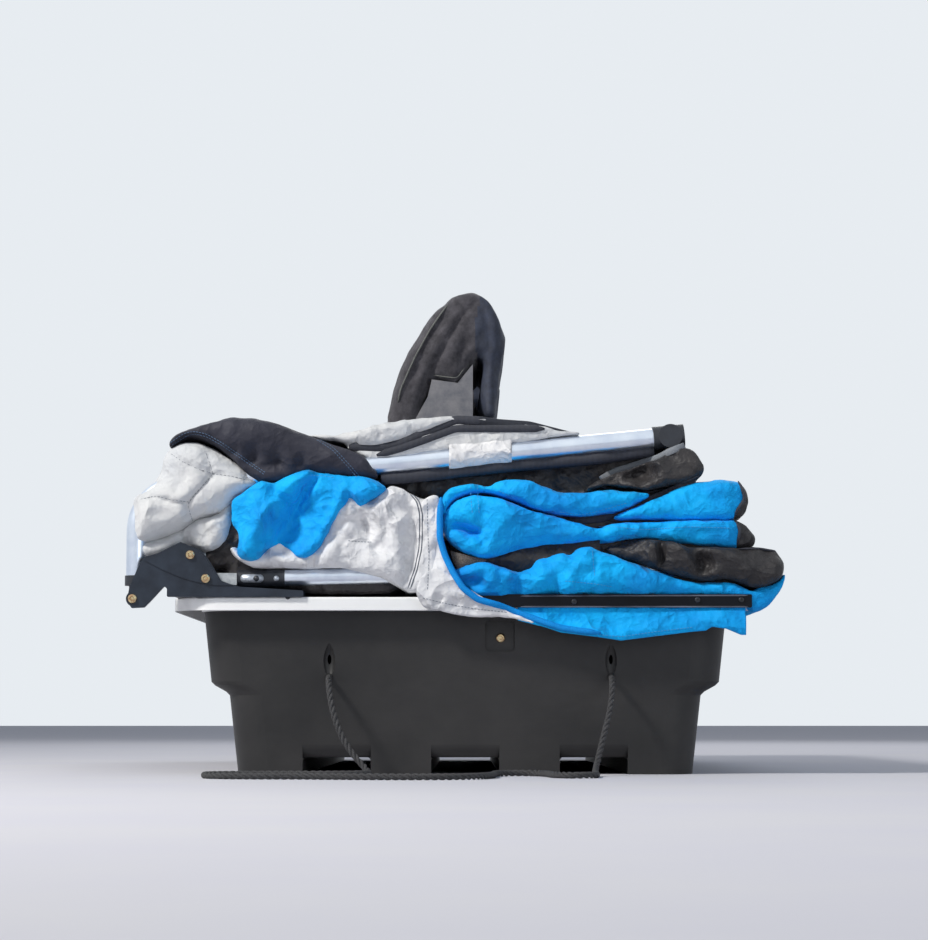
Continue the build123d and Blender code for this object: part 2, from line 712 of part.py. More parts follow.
with BuildPart() as near_skirt:
    with BuildSketch(Plane.XZ.offset(rim_half_y + 1)):
        with BuildLine():
            Polyline(
                (92, rim_low + 4), (92, 248), (128, 232), (184, 222), (248, 213), (312, 221), (376, 227),
                (395, 235), (440, 222), (450, 222), (450, rim_low + 4),
                close=True,
            )
        make_face()
    extrude(amount=6)
near_skirt.part.label = "near_skirt"

# Seats
with BuildPart() as seat_rails:
    with BuildSketch(Plane.XZ.offset(rail_half_y)):
        with Locations((rail_left, floor_top + rail_size / 2), (rail_right, floor_top + rail_size / 2)):
            Rectangle(rail_size, rail_size)
            Rectangle(rail_size - 2 * rail_wall, rail_size - 2 * rail_wall, mode=Mode.SUBTRACT)
    extrude(amount=-2 * rail_half_y)
seat_rails.part.label = "seat_rails"

with BuildPart() as near_seat_stand:
    with BuildSketch(Plane.XY.offset(floor_top + rail_size)):
        with Locations(((rail_left + rail_right) / 2, -seat_y)):
            RectangleRounded(rail_right - rail_left + rail_size + 10, 260, 20)
    with BuildSketch(Plane.XY.offset(stand_high)):
        with Locations(((rail_left + rail_right) / 2, -seat_y)):
            RectangleRounded(190, 190, 20)
    loft()
near_seat_stand.part.label = "near_seat_stand"

# The seat shell: a flat pan with the hollow back rising from its right edge.
with BuildSketch() as shell_outline:
    with BuildLine():
        Polyline(
            (seat_left + 7, stand_high), (10, stand_high), (14, 300), (13, 600), (13, 692),
            (-13, 660), (-57, 666), (-64, 636), (-86, 596), (-91, 500), (-86, 330), (-76, pan_high),
            (seat_left + 7, pan_high),
            close=True,
        )
    make_face()

with BuildPart() as near_seat_shell:
    with BuildSketch(Plane.XZ.offset(seat_y - back_half_wide + 12)):
        add(shell_outline.sketch)
    extrude(amount=2 * back_half_wide - 24)
near_seat_shell.part.label = "near_seat_shell"

with BuildPart() as near_seat_cushion:
    with BuildSketch(Plane.XZ.offset(seat_y - cushion_half_wide)):
        with BuildLine():
            Polyline(
                (seat_left, pan_high), (-136, pan_high), (-136, cushion_high), (seat_left, cushion_high),
                close=True,
            )
        make_face()
        fillet(vertices(), 18)
    extrude(amount=2 * cushion_half_wide)
near_seat_cushion.part.label = "near_seat_cushion"

# The back cushion is a cover that goes over the shell like a hood, with a flap down behind it.
with BuildPart() as near_back_cushion:
    with BuildSketch(Plane.XZ.offset(seat_y - back_half_wide)):
        with BuildLine():
            Polyline(
                (-135, pan_high + gap), (-132, 500), (-126, 594), (-121, 628), (-109, 670), (-92, 712),
                (-75, 743), (-58, 767), (-41, 790), (-11, back_top - 5), (9, back_top), (23, back_top - 2),
                (43, 805), (55, 783), (63, 760), (62, 721), (53, 679), (46, 628), (38, 601),
                (28, 612), (33, 650), (36, 690), (30, 709), (14, 705), (0, 640), (-60, 640),
                (-80, pan_high + gap),
                close=True,
            )
        make_face()
        offset(shell_outline.sketch, gap, mode=Mode.SUBTRACT)
    extrude(amount=2 * back_half_wide)
near_back_cushion.part.label = "near_back_cushion"

# Tow rope: out of the left hole, down to the snow, a loose loop, and back in at the right hole.
# It ends where its knots begin, just inside the wall.
knot_front = hull_waist_y - wall
rope_y = -rim_half_y
with BuildPart() as tow_rope:
    with BuildLine() as rope_route:
        FilletPolyline(
            (rope_left_x, -knot_front, rope_hole_z),
            (rope_left_x, rope_y - 6, rope_hole_z),
            (rope_left_x + 8, rope_y - 32, 100),
            (rope_left_x + 31, rope_y - 46, 45),
            (-150, rope_y - 64, 5),
            (-150, rope_y - 116, 5),
            (-205, rope_y - 145, 5),
            (-285, rope_y - 140, 5),
            (-355, rope_y - 150, 5),
            (-397, rope_y - 195, 5),
            (-385, rope_y - 262, 5),
            (-320, rope_y - 300, 5),
            (-240, rope_y - 300, 5),
            (-150, rope_y - 335, 5),
            (-50, rope_y - 345, 5),
            (15, rope_y - 315, 5),
            (44, rope_y - 235, 5),
            (42, rope_y - 140, 5),
            (62, rope_y - 80, 5),
            (108, rope_y - 78, 5),
            (128, rope_y - 135, 5),
            (130, rope_y - 200, 5),
            (158, rope_y - 248, 5),
            (200, rope_y - 222, 5),
            (198, rope_y - 150, 5),
            (203, rope_y - 88, 12),
            (rope_right_x - 19, rope_y - 54, 58),
            (rope_right_x - 4, rope_y - 30, 108),
            (rope_right_x, rope_y - 6, rope_hole_z),
            (rope_right_x, -knot_front, rope_hole_z),
            radius=[
                36, 170, 140, 32, 38, 99, 310, 78, 55, 66, 120, 190, 310, 110,
                77, 200, 160, 30, 27, 170, 98, 21, 38, 360, 60, 270, 250, 36,
            ],
        )
    with BuildSketch(Plane(rope_route.line @ 0, z_dir=rope_route.line % 0)):
        Circle(rope_dia / 2)
    sweep(path=rope_route.line)
tow_rope.part.label = "tow_rope"

with BuildPart() as rope_knots:
    with BuildSketch(Plane.XZ.offset(knot_front)):
        with Locations((rope_left_x, rope_hole_z), (rope_right_x, rope_hole_z)):
            Circle(knot_dia / 2)
    extrude(amount=-22)
    fillet(rope_knots.edges().filter_by(GeomType.CIRCLE), 6)
rope_knots.part.label = "rope_knots"

# Every piece goes over to the middle of the footprint, into a file of its own.
os.makedirs("parts", exist_ok=True)
middle = Pos(hinge_overhang, 0, 0)
for single in (
    sled_tub, sled_rim, top_crossbar, mid_bow, low_bow, hinge_strip, hinge_skirt, quilt_roll, quilt_bulge,
    roof_panel, lower_fold, dark_fold, middle_fold, upper_fold, window_panel, seat_rails, tow_rope, rope_knots,
):
    placed = middle * single.part
    placed.label = single.part.label
    export_step(placed, f"parts/{placed.label}.step")

# The far end repeats the tow end, mirrored across the middle of the sled.
for near in (
    near_top_arm, near_socket, near_lock_sleeve, near_low_fork, near_elbow, near_bracket, near_strip,
    near_door_drape, near_side_panel, near_top_quilt, near_skirt,
):
    placed = middle * near.part
    placed.label = near.part.label
    export_step(placed, f"parts/{placed.label}.step")
    far = middle * mirror(near.part, about=Plane.XZ)
    far.label = near.part.label.replace("near_", "far_")
    export_step(far, f"parts/{far.label}.step")

# The second seat is the same seat, set behind the first and facing the same way.
for near in (near_seat_stand, near_seat_shell, near_seat_cushion, near_back_cushion):
    placed = middle * near.part
    placed.label = near.part.label
    export_step(placed, f"parts/{placed.label}.step")
    far = Pos(0, 2 * seat_y, 0) * placed
    far.label = near.part.label.replace("near_", "far_")
    export_step(far, f"parts/{far.label}.step")
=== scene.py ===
import math
import bpy
import bmesh
import numpy as np
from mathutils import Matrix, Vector, noise
from mathutils.bvhtree import BVHTree
from mathutils.geometry import delaunay_2d_cdt


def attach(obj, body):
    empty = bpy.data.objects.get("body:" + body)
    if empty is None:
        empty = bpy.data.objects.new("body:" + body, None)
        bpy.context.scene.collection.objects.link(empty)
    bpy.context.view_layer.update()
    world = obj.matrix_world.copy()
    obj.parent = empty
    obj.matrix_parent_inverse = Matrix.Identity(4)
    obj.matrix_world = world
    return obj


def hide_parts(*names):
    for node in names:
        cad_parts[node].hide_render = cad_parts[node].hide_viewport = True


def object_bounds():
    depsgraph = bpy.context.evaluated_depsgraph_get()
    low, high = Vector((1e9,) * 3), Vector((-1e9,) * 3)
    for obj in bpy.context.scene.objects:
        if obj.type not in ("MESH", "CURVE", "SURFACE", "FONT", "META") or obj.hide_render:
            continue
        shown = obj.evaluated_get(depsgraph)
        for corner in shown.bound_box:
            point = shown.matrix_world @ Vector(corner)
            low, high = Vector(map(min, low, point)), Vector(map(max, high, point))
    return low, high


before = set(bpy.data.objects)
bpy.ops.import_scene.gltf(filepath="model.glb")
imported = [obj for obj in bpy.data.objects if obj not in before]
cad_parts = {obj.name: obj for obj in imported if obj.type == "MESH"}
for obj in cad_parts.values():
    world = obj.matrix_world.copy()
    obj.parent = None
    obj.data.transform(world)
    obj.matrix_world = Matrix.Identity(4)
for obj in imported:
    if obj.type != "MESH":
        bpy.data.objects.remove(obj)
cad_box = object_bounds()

# The place: a pale level floor with a plain pale surround and a soft studio light.
# The key light stands high at the front left, as the light in the photograph does,
# and the whole surround fills the shadows with a faint cool light.


def shown(name, data):
    """An object at the origin, linked to the scene."""
    thing = bpy.data.objects.new(name, data)
    bpy.context.scene.collection.objects.link(thing)
    return thing


def linear(colour):
    """A screen colour, 0 to 255, as the light values that a shader takes."""
    shares = [c / 255 for c in colour]
    return (*[s / 12.92 if s <= 0.04045 else ((s + 0.055) / 1.055) ** 2.4 for s in shares], 1)


def finish_material(name, colour, rough, metal=0.0, shine=0.5, sheen=0.0):
    """A material with its shader set, to add detail to."""
    material = bpy.data.materials.new(name)
    material.use_nodes = True
    shader = material.node_tree.nodes["Principled BSDF"]
    shader.inputs["Base Color"].default_value = linear(colour)
    shader.inputs["Roughness"].default_value = rough
    shader.inputs["Metallic"].default_value = metal
    shader.inputs["Specular IOR Level"].default_value = shine
    shader.inputs["Sheen Weight"].default_value = sheen
    return material


def add(tree, kind, inputs=None, **settings):
    """One node in a tree, with its plain inputs set."""
    node = tree.nodes.new(kind)
    for key, value in settings.items():
        setattr(node, key, value)
    for key, value in (inputs or {}).items():
        node.inputs[key].default_value = value
    return node


def join(tree, out_node, out_name, in_node, in_name):
    tree.links.new(out_node.outputs[out_name], in_node.inputs[in_name])


def grain(tree, scale, detail=3.0, rough=0.5, stretch=(1, 1, 1)):
    """Noise in the object's own space."""
    turn = add(tree, "ShaderNodeMapping", {"Scale": stretch})
    texture = add(tree, "ShaderNodeTexNoise", {"Scale": scale, "Detail": detail, "Roughness": rough})
    join(tree, add(tree, "ShaderNodeTexCoord"), "Object", turn, "Vector")
    join(tree, turn, "Vector", texture, "Vector")
    return texture


pale_floor = finish_material("pale_floor", (204, 204, 214), 0.9, shine=0.2)
floor_tree = pale_floor.node_tree
floor_tone = add(floor_tree, "ShaderNodeMapRange", {"To Min": 0.60, "To Max": 0.66})
floor_colour = add(floor_tree, "ShaderNodeCombineColor", {"Blue": 0.68})
join(floor_tree, grain(floor_tree, 3.0, 4.0), "Fac", floor_tone, "Value")
join(floor_tree, floor_tone, "Result", floor_colour, "Red")
join(floor_tree, floor_tone, "Result", floor_colour, "Green")
join(floor_tree, floor_colour, "Color", floor_tree.nodes["Principled BSDF"], "Base Color")

floor_half = 30.0
floor_corners = [(x * floor_half, y * floor_half, 0) for x, y in ((-1, -1), (1, -1), (1, 1), (-1, 1))]
floor_mesh = bpy.data.meshes.new("floor")
floor_mesh.from_pydata(floor_corners, [], [(0, 1, 2, 3)])
floor_mesh.materials.append(pale_floor)
floor = shown("floor", floor_mesh)

surround = bpy.data.worlds.new("surround")
surround.use_nodes = True
surround_tree = surround.node_tree
faint_light = surround_tree.nodes["Background"]
faint_light.inputs["Color"].default_value = (0.80, 0.87, 1.0, 1.0)
faint_light.inputs["Strength"].default_value = 0.30
backdrop = add(surround_tree, "ShaderNodeBackground", {"Color": (0.80, 0.84, 0.88, 1.0), "Strength": 1.0})
ray = add(surround_tree, "ShaderNodeLightPath")
surround_choice = add(surround_tree, "ShaderNodeMixShader")
seen = (ray, "Is Camera Ray")
for ray_kind in ("Is Glossy Ray", "Is Transmission Ray"):
    either = add(surround_tree, "ShaderNodeMath", operation="MAXIMUM")
    join(surround_tree, *seen, either, 0)
    join(surround_tree, ray, ray_kind, either, 1)
    seen = (either, "Value")
join(surround_tree, *seen, surround_choice, "Fac")
join(surround_tree, faint_light, "Background", surround_choice, 1)
join(surround_tree, backdrop, "Background", surround_choice, 2)
join(surround_tree, surround_choice, "Shader", surround_tree.nodes["World Output"], "Surface")
bpy.context.scene.world = surround
bpy.context.scene.view_settings.view_transform = "Standard"


def lamp(name, place, aim, width, power, colour):
    light = bpy.data.lights.new(name, "AREA")
    light.shape = "DISK"
    light.size = width
    light.energy = power
    light.color = colour
    lit = shown(name, light)
    lit.location = place
    lit.rotation_euler = (Vector(aim) - Vector(place)).to_track_quat("-Z", "Y").to_euler()


lamp("key", (-3.0, -2.9, 3.6), aim=(0, -0.4, 0.3), width=0.8, power=226, colour=(1.0, 0.97, 0.92))
lamp("fill", (2.8, -4.4, 1.2), aim=(0, 0, 0.3), width=2.6, power=30, colour=(0.92, 0.96, 1.0))
lamp("back", (1.0, 4.2, 3.4), aim=(0, 0, 0.3), width=2.6, power=60, colour=(1.0, 1.0, 1.0))

# The camera stands low in front of the tow end, 88 mm up and 4 m away, and looks up a little.
# Its long lens shows the sled as the photograph does, with the rim's front edge 582 px wide.
sled_middle_x = 0.0165
eye_height = 0.088
near_rim_y = -0.760
eye_far = 4.0
eye_side = -0.002
eye_pitch = math.radians(90 + 5.7)
camera_data = bpy.data.cameras.new("camera")
camera_data.sensor_width = 36
camera_data.lens = 95.7
camera_data.clip_end = 100
camera = shown("camera", camera_data)
camera.location = (sled_middle_x + eye_side, near_rim_y - eye_far, eye_height)
camera.rotation_euler = (eye_pitch, 0, 0)
bpy.context.scene.camera = camera

# Tow rope: a limp black laid rope, 10 mm thick, of three strands. It is knotted inside the tub,
# comes out of one hole, lies in a loose loop on the ground and goes back in at the other hole.
rope_thick = 0.010
rope_strands = 3
strand_sides = 8
rope_lay = 0.034
route_step = 0.0025


def spot(x, y, z):
    """A place measured in millimetres from the middle of the sled."""
    return ((x / 1000) + sled_middle_x, y / 1000, z / 1000)


rope_points = [
    (-219, -715, 156), (-219, -766, 156), (-211, -792, 100), (-188, -806, 45), (-150, -824, 5),
    (-150, -876, 5), (-205, -905, 5), (-285, -900, 5), (-355, -910, 5), (-397, -955, 5), (-385, -1022, 5),
    (-320, -1060, 5), (-240, -1060, 5), (-150, -1095, 5), (-50, -1105, 5), (15, -1075, 5), (44, -995, 5),
    (42, -900, 5), (62, -840, 5), (108, -838, 5), (128, -895, 5), (130, -960, 5), (158, -1008, 5),
    (200, -982, 5), (198, -910, 5), (203, -848, 12), (216, -814, 58), (231, -790, 108), (235, -766, 156),
    (235, -715, 156)]
route_curve = bpy.data.curves.new("rope_route", "CURVE")
route_curve.dimensions = "3D"
route_curve.resolution_u = 16
route_spline = route_curve.splines.new("NURBS")
route_spline.points.add(len(rope_points) - 1)
for control, place in zip(route_spline.points, rope_points):
    control.co = (*spot(*place), 1)
route_spline.order_u = 3
route_spline.use_endpoint_u = True
rope_route = shown("rope_route", route_curve)


def plain_mesh(piece):
    """A piece with its curve or its modifiers worked out, as a plain mesh."""
    bpy.context.view_layer.update()
    return bpy.data.meshes.new_from_object(piece.evaluated_get(bpy.context.evaluated_depsgraph_get()))


def walked(line):
    """How far along a line each of its points lies."""
    return np.concatenate([[0], np.cumsum(np.linalg.norm(np.diff(line, axis=0), axis=1))])


def spaced_out(line, count):
    """The same line as evenly spaced points."""
    along = walked(line)
    marks = np.linspace(0, along[-1], count)
    return np.stack([np.interp(marks, along, line[:, k]) for k in range(line.shape[1])], axis=1)


route_mesh = plain_mesh(rope_route)
route_line = np.array([v.co[:] for v in route_mesh.vertices])
bpy.data.meshes.remove(route_mesh)
rope_long = walked(route_line)[-1]
rope_line = spaced_out(route_line, int(rope_long / route_step) + 1)


def laid_rope(line, radius, lay_length):
    """Strands twisted round a line, each a closed tube with flat ends."""
    steps = np.gradient(line, axis=0)
    steps /= np.linalg.norm(steps, axis=1)[:, None]
    across = np.cross(steps, (0.0, 0.0, 1.0))
    weak = np.linalg.norm(across, axis=1) < 1e-3
    across[weak] = (1.0, 0.0, 0.0)
    across /= np.linalg.norm(across, axis=1)[:, None]
    for k in range(1, len(across)):
        side = across[k - 1] - steps[k] * np.dot(across[k - 1], steps[k])
        across[k] = side / np.linalg.norm(side)
    over = np.cross(steps, across)
    far = walked(line)
    verts, faces = [], []
    strand_r, core_r = radius * 0.54, radius * 0.50
    for strand in range(rope_strands):
        turn = 2 * math.pi * (far / lay_length + strand / rope_strands)
        centre = line + core_r * (np.cos(turn)[:, None] * across + np.sin(turn)[:, None] * over)
        base = len(verts)
        for k in range(len(line)):
            for side in range(strand_sides):
                a = 2 * math.pi * side / strand_sides
                verts.append(centre[k] + strand_r * (math.cos(a) * across[k] + math.sin(a) * over[k]))
        for k in range(len(line) - 1):
            for side in range(strand_sides):
                a = base + k * strand_sides + side
                b = base + k * strand_sides + (side + 1) % strand_sides
                faces.append((a, b, b + strand_sides, a + strand_sides))
        faces.append(tuple(base + side for side in reversed(range(strand_sides))))
        last = base + (len(line) - 1) * strand_sides
        faces.append(tuple(last + side for side in range(strand_sides)))
    return verts, faces


def closed_mesh(name, verts, faces, cut=False):
    """A mesh with its faces made to point outwards, and its many-sided faces cut up if asked."""
    mesh = bpy.data.meshes.new(name)
    mesh.from_pydata([tuple(v) for v in verts], [], faces)
    shell = bmesh.new()
    shell.from_mesh(mesh)
    bmesh.ops.recalc_face_normals(shell, faces=shell.faces)
    if cut:
        bmesh.ops.triangulate(shell, faces=[f for f in shell.faces if len(f.verts) > 4])
    shell.to_mesh(mesh)
    shell.free()
    return mesh


def piece_from(name, verts, faces, material):
    """A smooth piece at the origin."""
    mesh = closed_mesh(name, verts, faces)
    mesh.materials.append(material)
    mesh.shade_smooth()
    return shown(name, mesh)


def tone_between(tree, mask, dark, light, low, high):
    """Base colour that runs from one tone to another as a mask runs from low to high."""
    ramp = add(tree, "ShaderNodeMapRange", {"From Min": low, "From Max": high})
    mix = add(tree, "ShaderNodeMix", {"A": linear(dark), "B": linear(light)}, data_type="RGBA")
    join(tree, mask, "Fac", ramp, "Value")
    join(tree, ramp, "Result", mix, "Factor")
    join(tree, mix, "Result", tree.nodes["Principled BSDF"], "Base Color")


def bump_chain(tree, layers):
    """Bumps one on another: each layer is a texture, a strength and a depth in metres."""
    before = None
    for texture, strength, depth in layers:
        bump = add(tree, "ShaderNodeBump", {"Strength": strength, "Distance": depth})
        join(tree, texture, "Fac" if "Fac" in texture.outputs else "Value", bump, "Height")
        if before:
            join(tree, before, "Normal", bump, "Normal")
        before = bump
    join(tree, before, "Normal", tree.nodes["Principled BSDF"], "Normal")


def mottled(name, colour, rough, dark, light, cloud, bumps, low=0.3, high=0.7, **shader):
    """A finish that runs between two tones in clouds. A cloud is the scale of its grain, its detail,
    roughness and stretch. A bump is a strength, a depth and its own grain, or none for the clouds'."""
    material = finish_material(name, colour, rough, **shader)
    tree = material.node_tree
    clouds = grain(tree, *cloud)
    tone_between(tree, clouds, dark, light, low, high)
    bump_chain(tree, [
        (grain(tree, *own) if own else clouds, strength, depth) for strength, depth, *own in bumps])
    return material


rope_fibre = mottled(
    "rope_fibre", (46, 46, 48), rough=0.85, dark=(30, 30, 32), light=(84, 84, 86), cloud=(900, 2),
    bumps=[(0.6, 0.0006)], high=0.75)
tow_rope = piece_from("tow_rope_strands", *laid_rope(rope_line, rope_thick / 2, rope_lay), rope_fibre)
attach(tow_rope, "root")
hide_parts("tow_rope")
bpy.data.objects.remove(rope_route)

# Rope knots: a stopper knot on each end of the rope, drawn up against the inside of the tub wall.
# Each is an overhand knot of the same laid rope, pulled tight.
knot_size = 0.013
knot_lay = 0.030
hole_places = (-219, 235)


def knot_line(middle, size):
    """The line of an overhand knot, lying against the wall."""
    turns = np.linspace(0, 2 * math.pi, 72)
    x = middle[0] + size * 0.42 * (np.sin(turns) + 1.5 * np.sin(2 * turns)) / 1.9
    z = middle[2] + size * 0.42 * (np.cos(turns) - 1.5 * np.cos(2 * turns)) / 1.9
    y = middle[1] - size * 0.36 * np.sin(3 * turns)
    return np.stack([x, y, z], axis=1)


def together(shapes):
    """Several shapes, each its places and faces, as one."""
    verts, faces = [], []
    for shape_verts, shape_faces in shapes:
        base = len(verts)
        verts += shape_verts
        faces += [tuple(base + k for k in face) for face in shape_faces]
    return verts, faces


knots = together([
    laid_rope(knot_line(spot(x, -700, 156), knot_size), rope_thick * 0.42, knot_lay) for x in hole_places])
rope_knots = piece_from("rope_knot_strands", *knots, rope_fibre)
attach(rope_knots, "root")
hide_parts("rope_knots")

# Sled tub: black polyethylene, vacuum formed in one piece with its runners, tunnels and step. It is
# satin and a little mottled, with fine scratches along it from being dragged.


def wear(material, *node_names):
    """Carried-over solids take a finish."""
    for node_name in node_names:
        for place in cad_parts[node_name].material_slots:
            place.material = material


hull_plastic = mottled(
    "hull_plastic", (45, 44, 45), rough=0.5, dark=(36, 36, 37), light=(54, 53, 53), cloud=(5.0, 5, 0.6),
    bumps=[(0.25, 0.004, 14, 2, 0.5, (1, 1, 2)), (0.25, 0.0003, 420, 2),
           (0.12, 0.0008, 60, 3, 0.7, (0.08, 1, 1.6))],
    high=0.72, shine=0.32)
wear(hull_plastic, "sled_tub")

# Rim: a pale satin trim round the top of the tub, riveted down through the cloth's edge. Its
# underside, where its faces point down, is painted dark grey as painted shade.
rim_finish = mottled(
    "rim_finish", (226, 228, 228), rough=0.38, dark=(238, 240, 240), light=(250, 250, 249),
    cloud=(9, 4, 0.6, (0.3, 0.3, 1)), bumps=[(0.2, 0.0003, 260, 2)])
rim_tree = rim_finish.node_tree
rim_shader = rim_tree.nodes["Principled BSDF"]
rim_tone = rim_shader.inputs["Base Color"].links[0].from_socket
# Painted shade: faces that point down take a dark grey in place of the rim's pale colour.
rim_facing = add(rim_tree, "ShaderNodeNewGeometry")
rim_split = add(rim_tree, "ShaderNodeSeparateXYZ")
rim_shade_mask = add(rim_tree, "ShaderNodeMapRange", {"From Min": -0.7, "From Max": -0.4})
rim_painted_shade = add(rim_tree, "ShaderNodeMix", {"A": linear((72, 74, 78))}, data_type="RGBA")
join(rim_tree, rim_facing, "Normal", rim_split, "Vector")
join(rim_tree, rim_split, "Z", rim_shade_mask, "Value")
join(rim_tree, rim_shade_mask, "Result", rim_painted_shade, "Factor")
rim_tree.links.new(rim_tone, rim_painted_shade.inputs["B"])
join(rim_tree, rim_painted_shade, "Result", rim_shader, "Base Color")
wear(rim_finish, "sled_rim")

# Bow tubes: drawn aluminium, 32 mm and 26 mm, bent at the ends and joined by fittings. They are
# satin from handling, with fine lines along them.
tube_metal = mottled(
    "tube_metal", (224, 232, 244), rough=0.30, dark=(212, 221, 236), light=(236, 243, 252),
    cloud=(30, 3, 0.6), bumps=[(0.08, 0.0002, 120, 2, 0.5, (0.05, 0.05, 4))], metal=1.0)
wear(tube_metal, "near_top_arm", "far_top_arm", "top_crossbar", "mid_bow", "low_bow")

# Fittings on the tubes: sockets, elbows and lock sleeves of black glass-filled nylon, pushed over
# the tubes' ends, and forks of zinc-plated steel that carry the low bow.
fitting_nylon = mottled(
    "fitting_nylon", (34, 37, 44), rough=0.42, dark=(24, 27, 33), light=(44, 48, 56), cloud=(40, 4, 0.6),
    bumps=[(0.25, 0.0002, 700, 2)])
wear(fitting_nylon, "near_socket", "far_socket", "near_elbow", "far_elbow", "near_lock_sleeve",
     "far_lock_sleeve")
fork_zinc = mottled(
    "fork_zinc", (184, 187, 190), rough=0.38, dark=(160, 164, 168), light=(205, 208, 208), cloud=(90, 4, 0.6),
    bumps=[(0.2, 0.0003)], metal=1.0)
wear(fork_zinc, "near_low_fork", "far_low_fork")

# Hinge brackets: black moulded nylon, blue-grey where the light catches them. Each is bolted to the
# end of the tub and carries the bows.
bracket_nylon = mottled(
    "bracket_nylon", (38, 46, 58), rough=0.36, dark=(24, 30, 40), light=(44, 52, 64), cloud=(22, 4, 0.6),
    bumps=[(0.2, 0.002), (0.3, 0.0002, 600, 2)], shine=0.35)
wear(bracket_nylon, "near_bracket", "far_bracket")

# Clamp strips: shallow channels of black painted metal, screwed down over the cloth's edge to hold
# it to the rim.
strip_paint = mottled(
    "strip_paint", (26, 29, 40), rough=0.34, dark=(5, 7, 12), light=(18, 21, 29),
    cloud=(16, 4, 0.6, (0.4, 1, 1)), bumps=[(0.2, 0.0002, 500, 2)], shine=0.15)
wear(strip_paint, "near_strip", "far_strip", "hinge_strip")

# Seat rails: two lengths of square steel tube that lie on the tub's floor and carry the seats.
# Their bare metal is a little clouded.
rail_steel = mottled(
    "rail_steel", (140, 143, 148), rough=0.4, dark=(118, 121, 126), light=(160, 163, 168), cloud=(25, 4, 0.6),
    bumps=[(0.15, 0.0004)], metal=1.0)
wear(rail_steel, "seat_rails")

# Tent cloth: coated nylon and quilted lining in several colours, sewn together and folded in
# layers over the tub. Each cloth has a plain weave and the crisp creases of stiff coated stuff.


def cloth_finish(name, colour, deep, rough=0.72, weave=900, wrinkle=1.0, shine=0.22):
    """Coated nylon: a plain weave, two sizes of creases, and a little uneven colour."""
    material = finish_material(name, colour, rough, shine=shine, sheen=0.04)
    tree = material.node_tree
    tone_between(tree, grain(tree, 7, 4, 0.6), deep, colour, 0.25, 0.62)
    place = add(tree, "ShaderNodeTexCoord")
    threads = add(tree, "ShaderNodeMath", operation="ADD")
    for socket, direction in enumerate("XZ"):
        thread = add(
            tree, "ShaderNodeTexWave", {"Scale": weave, "Distortion": 0.4}, bands_direction=direction)
        join(tree, place, "Object", thread, "Vector")
        join(tree, thread, "Fac", threads, socket)
    layers = []
    for scale, roughness, waver, strength, depth in (
            (11.0, 0.42, 0.15, 0.8, 0.013), (34.0, 0.5, 0.2, 0.4, 0.004)):
        creases = add(tree, "ShaderNodeTexNoise", {
            "Scale": scale, "Detail": 3.0, "Roughness": roughness, "Distortion": waver, "Offset": 1.0,
            "Gain": 2.0}, noise_type="RIDGED_MULTIFRACTAL")
        join(tree, place, "Object", creases, "Vector")
        layers.append((creases, strength * wrinkle, depth))
    bump_chain(tree, layers + [(threads, 0.15, 0.0003)])
    return material


white_lining = cloth_finish(
    "white_lining", (214, 215, 215), deep=(198, 202, 207), rough=0.8, weave=800, wrinkle=0.7)
black_roof = cloth_finish("black_roof", (56, 57, 68), deep=(40, 41, 50), rough=0.6, wrinkle=0.6)
blue_nylon = cloth_finish("blue_nylon", (0, 180, 252), deep=(0, 130, 220))
grey_nylon = cloth_finish("grey_nylon", (234, 234, 235), deep=(212, 214, 218))
dark_nylon = cloth_finish("dark_nylon", (48, 45, 46), deep=(24, 25, 30), rough=0.5, shine=0.4)

# White quilt on the hinge side: the insulated wall of the tent, folded over in one fat bulge that
# hangs out past the sled. Quilting lines are sewn down, and the wadding stands up between them.
# It is one closed skin, rounded at its ends and blown up, with its seams sunk and ridges raised.
wadding_pressure = 4.0
swell_frames = 16


def rounded(corners, step=5.0):
    """A closed smooth line through the corners, in millimetres, with evenly spaced points."""
    p = np.array(corners, float)
    before, after, later = np.roll(p, 1, 0), np.roll(p, -1, 0), np.roll(p, -2, 0)
    line = []
    for k in range(len(p)):
        pieces = max(2, int(np.linalg.norm(after[k] - p[k]) / step))
        for t in np.arange(pieces) / pieces:
            line.append(0.5 * (2 * p[k] + (after[k] - before[k]) * t
                               + (2 * before[k] - 5 * p[k] + 4 * after[k] - later[k]) * t * t
                               + (3 * p[k] - before[k] - 3 * after[k] + later[k]) * t ** 3))
    return np.array(line)


def mesh_points(mesh):
    points = np.empty(len(mesh.vertices) * 3)
    mesh.vertices.foreach_get("co", points)
    return points.reshape(-1, 3)


def mesh_normals(mesh):
    normals = np.empty(len(mesh.vertices) * 3)
    mesh.vertex_normals.foreach_get("vector", normals)
    return normals.reshape(-1, 3)


def move_points(mesh, points):
    mesh.vertices.foreach_set("co", points.ravel())
    mesh.update()


def skin(name, lengths, voxel, stretch, soften):
    """One closed skin over straight lengths, each a closed line with its start and end along the sled.
    Its faces are longer along the sled than across it by the stretch."""
    verts, faces = [], []
    for line, start, end in lengths:
        base, n = len(verts), len(line)
        for y in (start, end):
            verts += [spot(x, y / stretch, z) for x, z in line]
        faces += [(base + k, base + (k + 1) % n, base + n + (k + 1) % n, base + n + k) for k in range(n)]
        faces += [tuple(base + k for k in reversed(range(n))), tuple(base + n + k for k in range(n))]
    rough = shown(name, closed_mesh(name, verts, faces, cut=True))
    remesh = rough.modifiers.new("remesh", "REMESH")
    remesh.mode = "VOXEL"
    remesh.voxel_size = voxel
    smooth = rough.modifiers.new("soften", "SMOOTH")
    smooth.iterations = soften
    smooth.factor = 0.5
    made = plain_mesh(rough)
    bpy.data.objects.remove(rough)
    points = mesh_points(made)
    points[:, 1] *= stretch
    move_points(made, points)
    made.name = name
    made.shade_smooth()
    return made


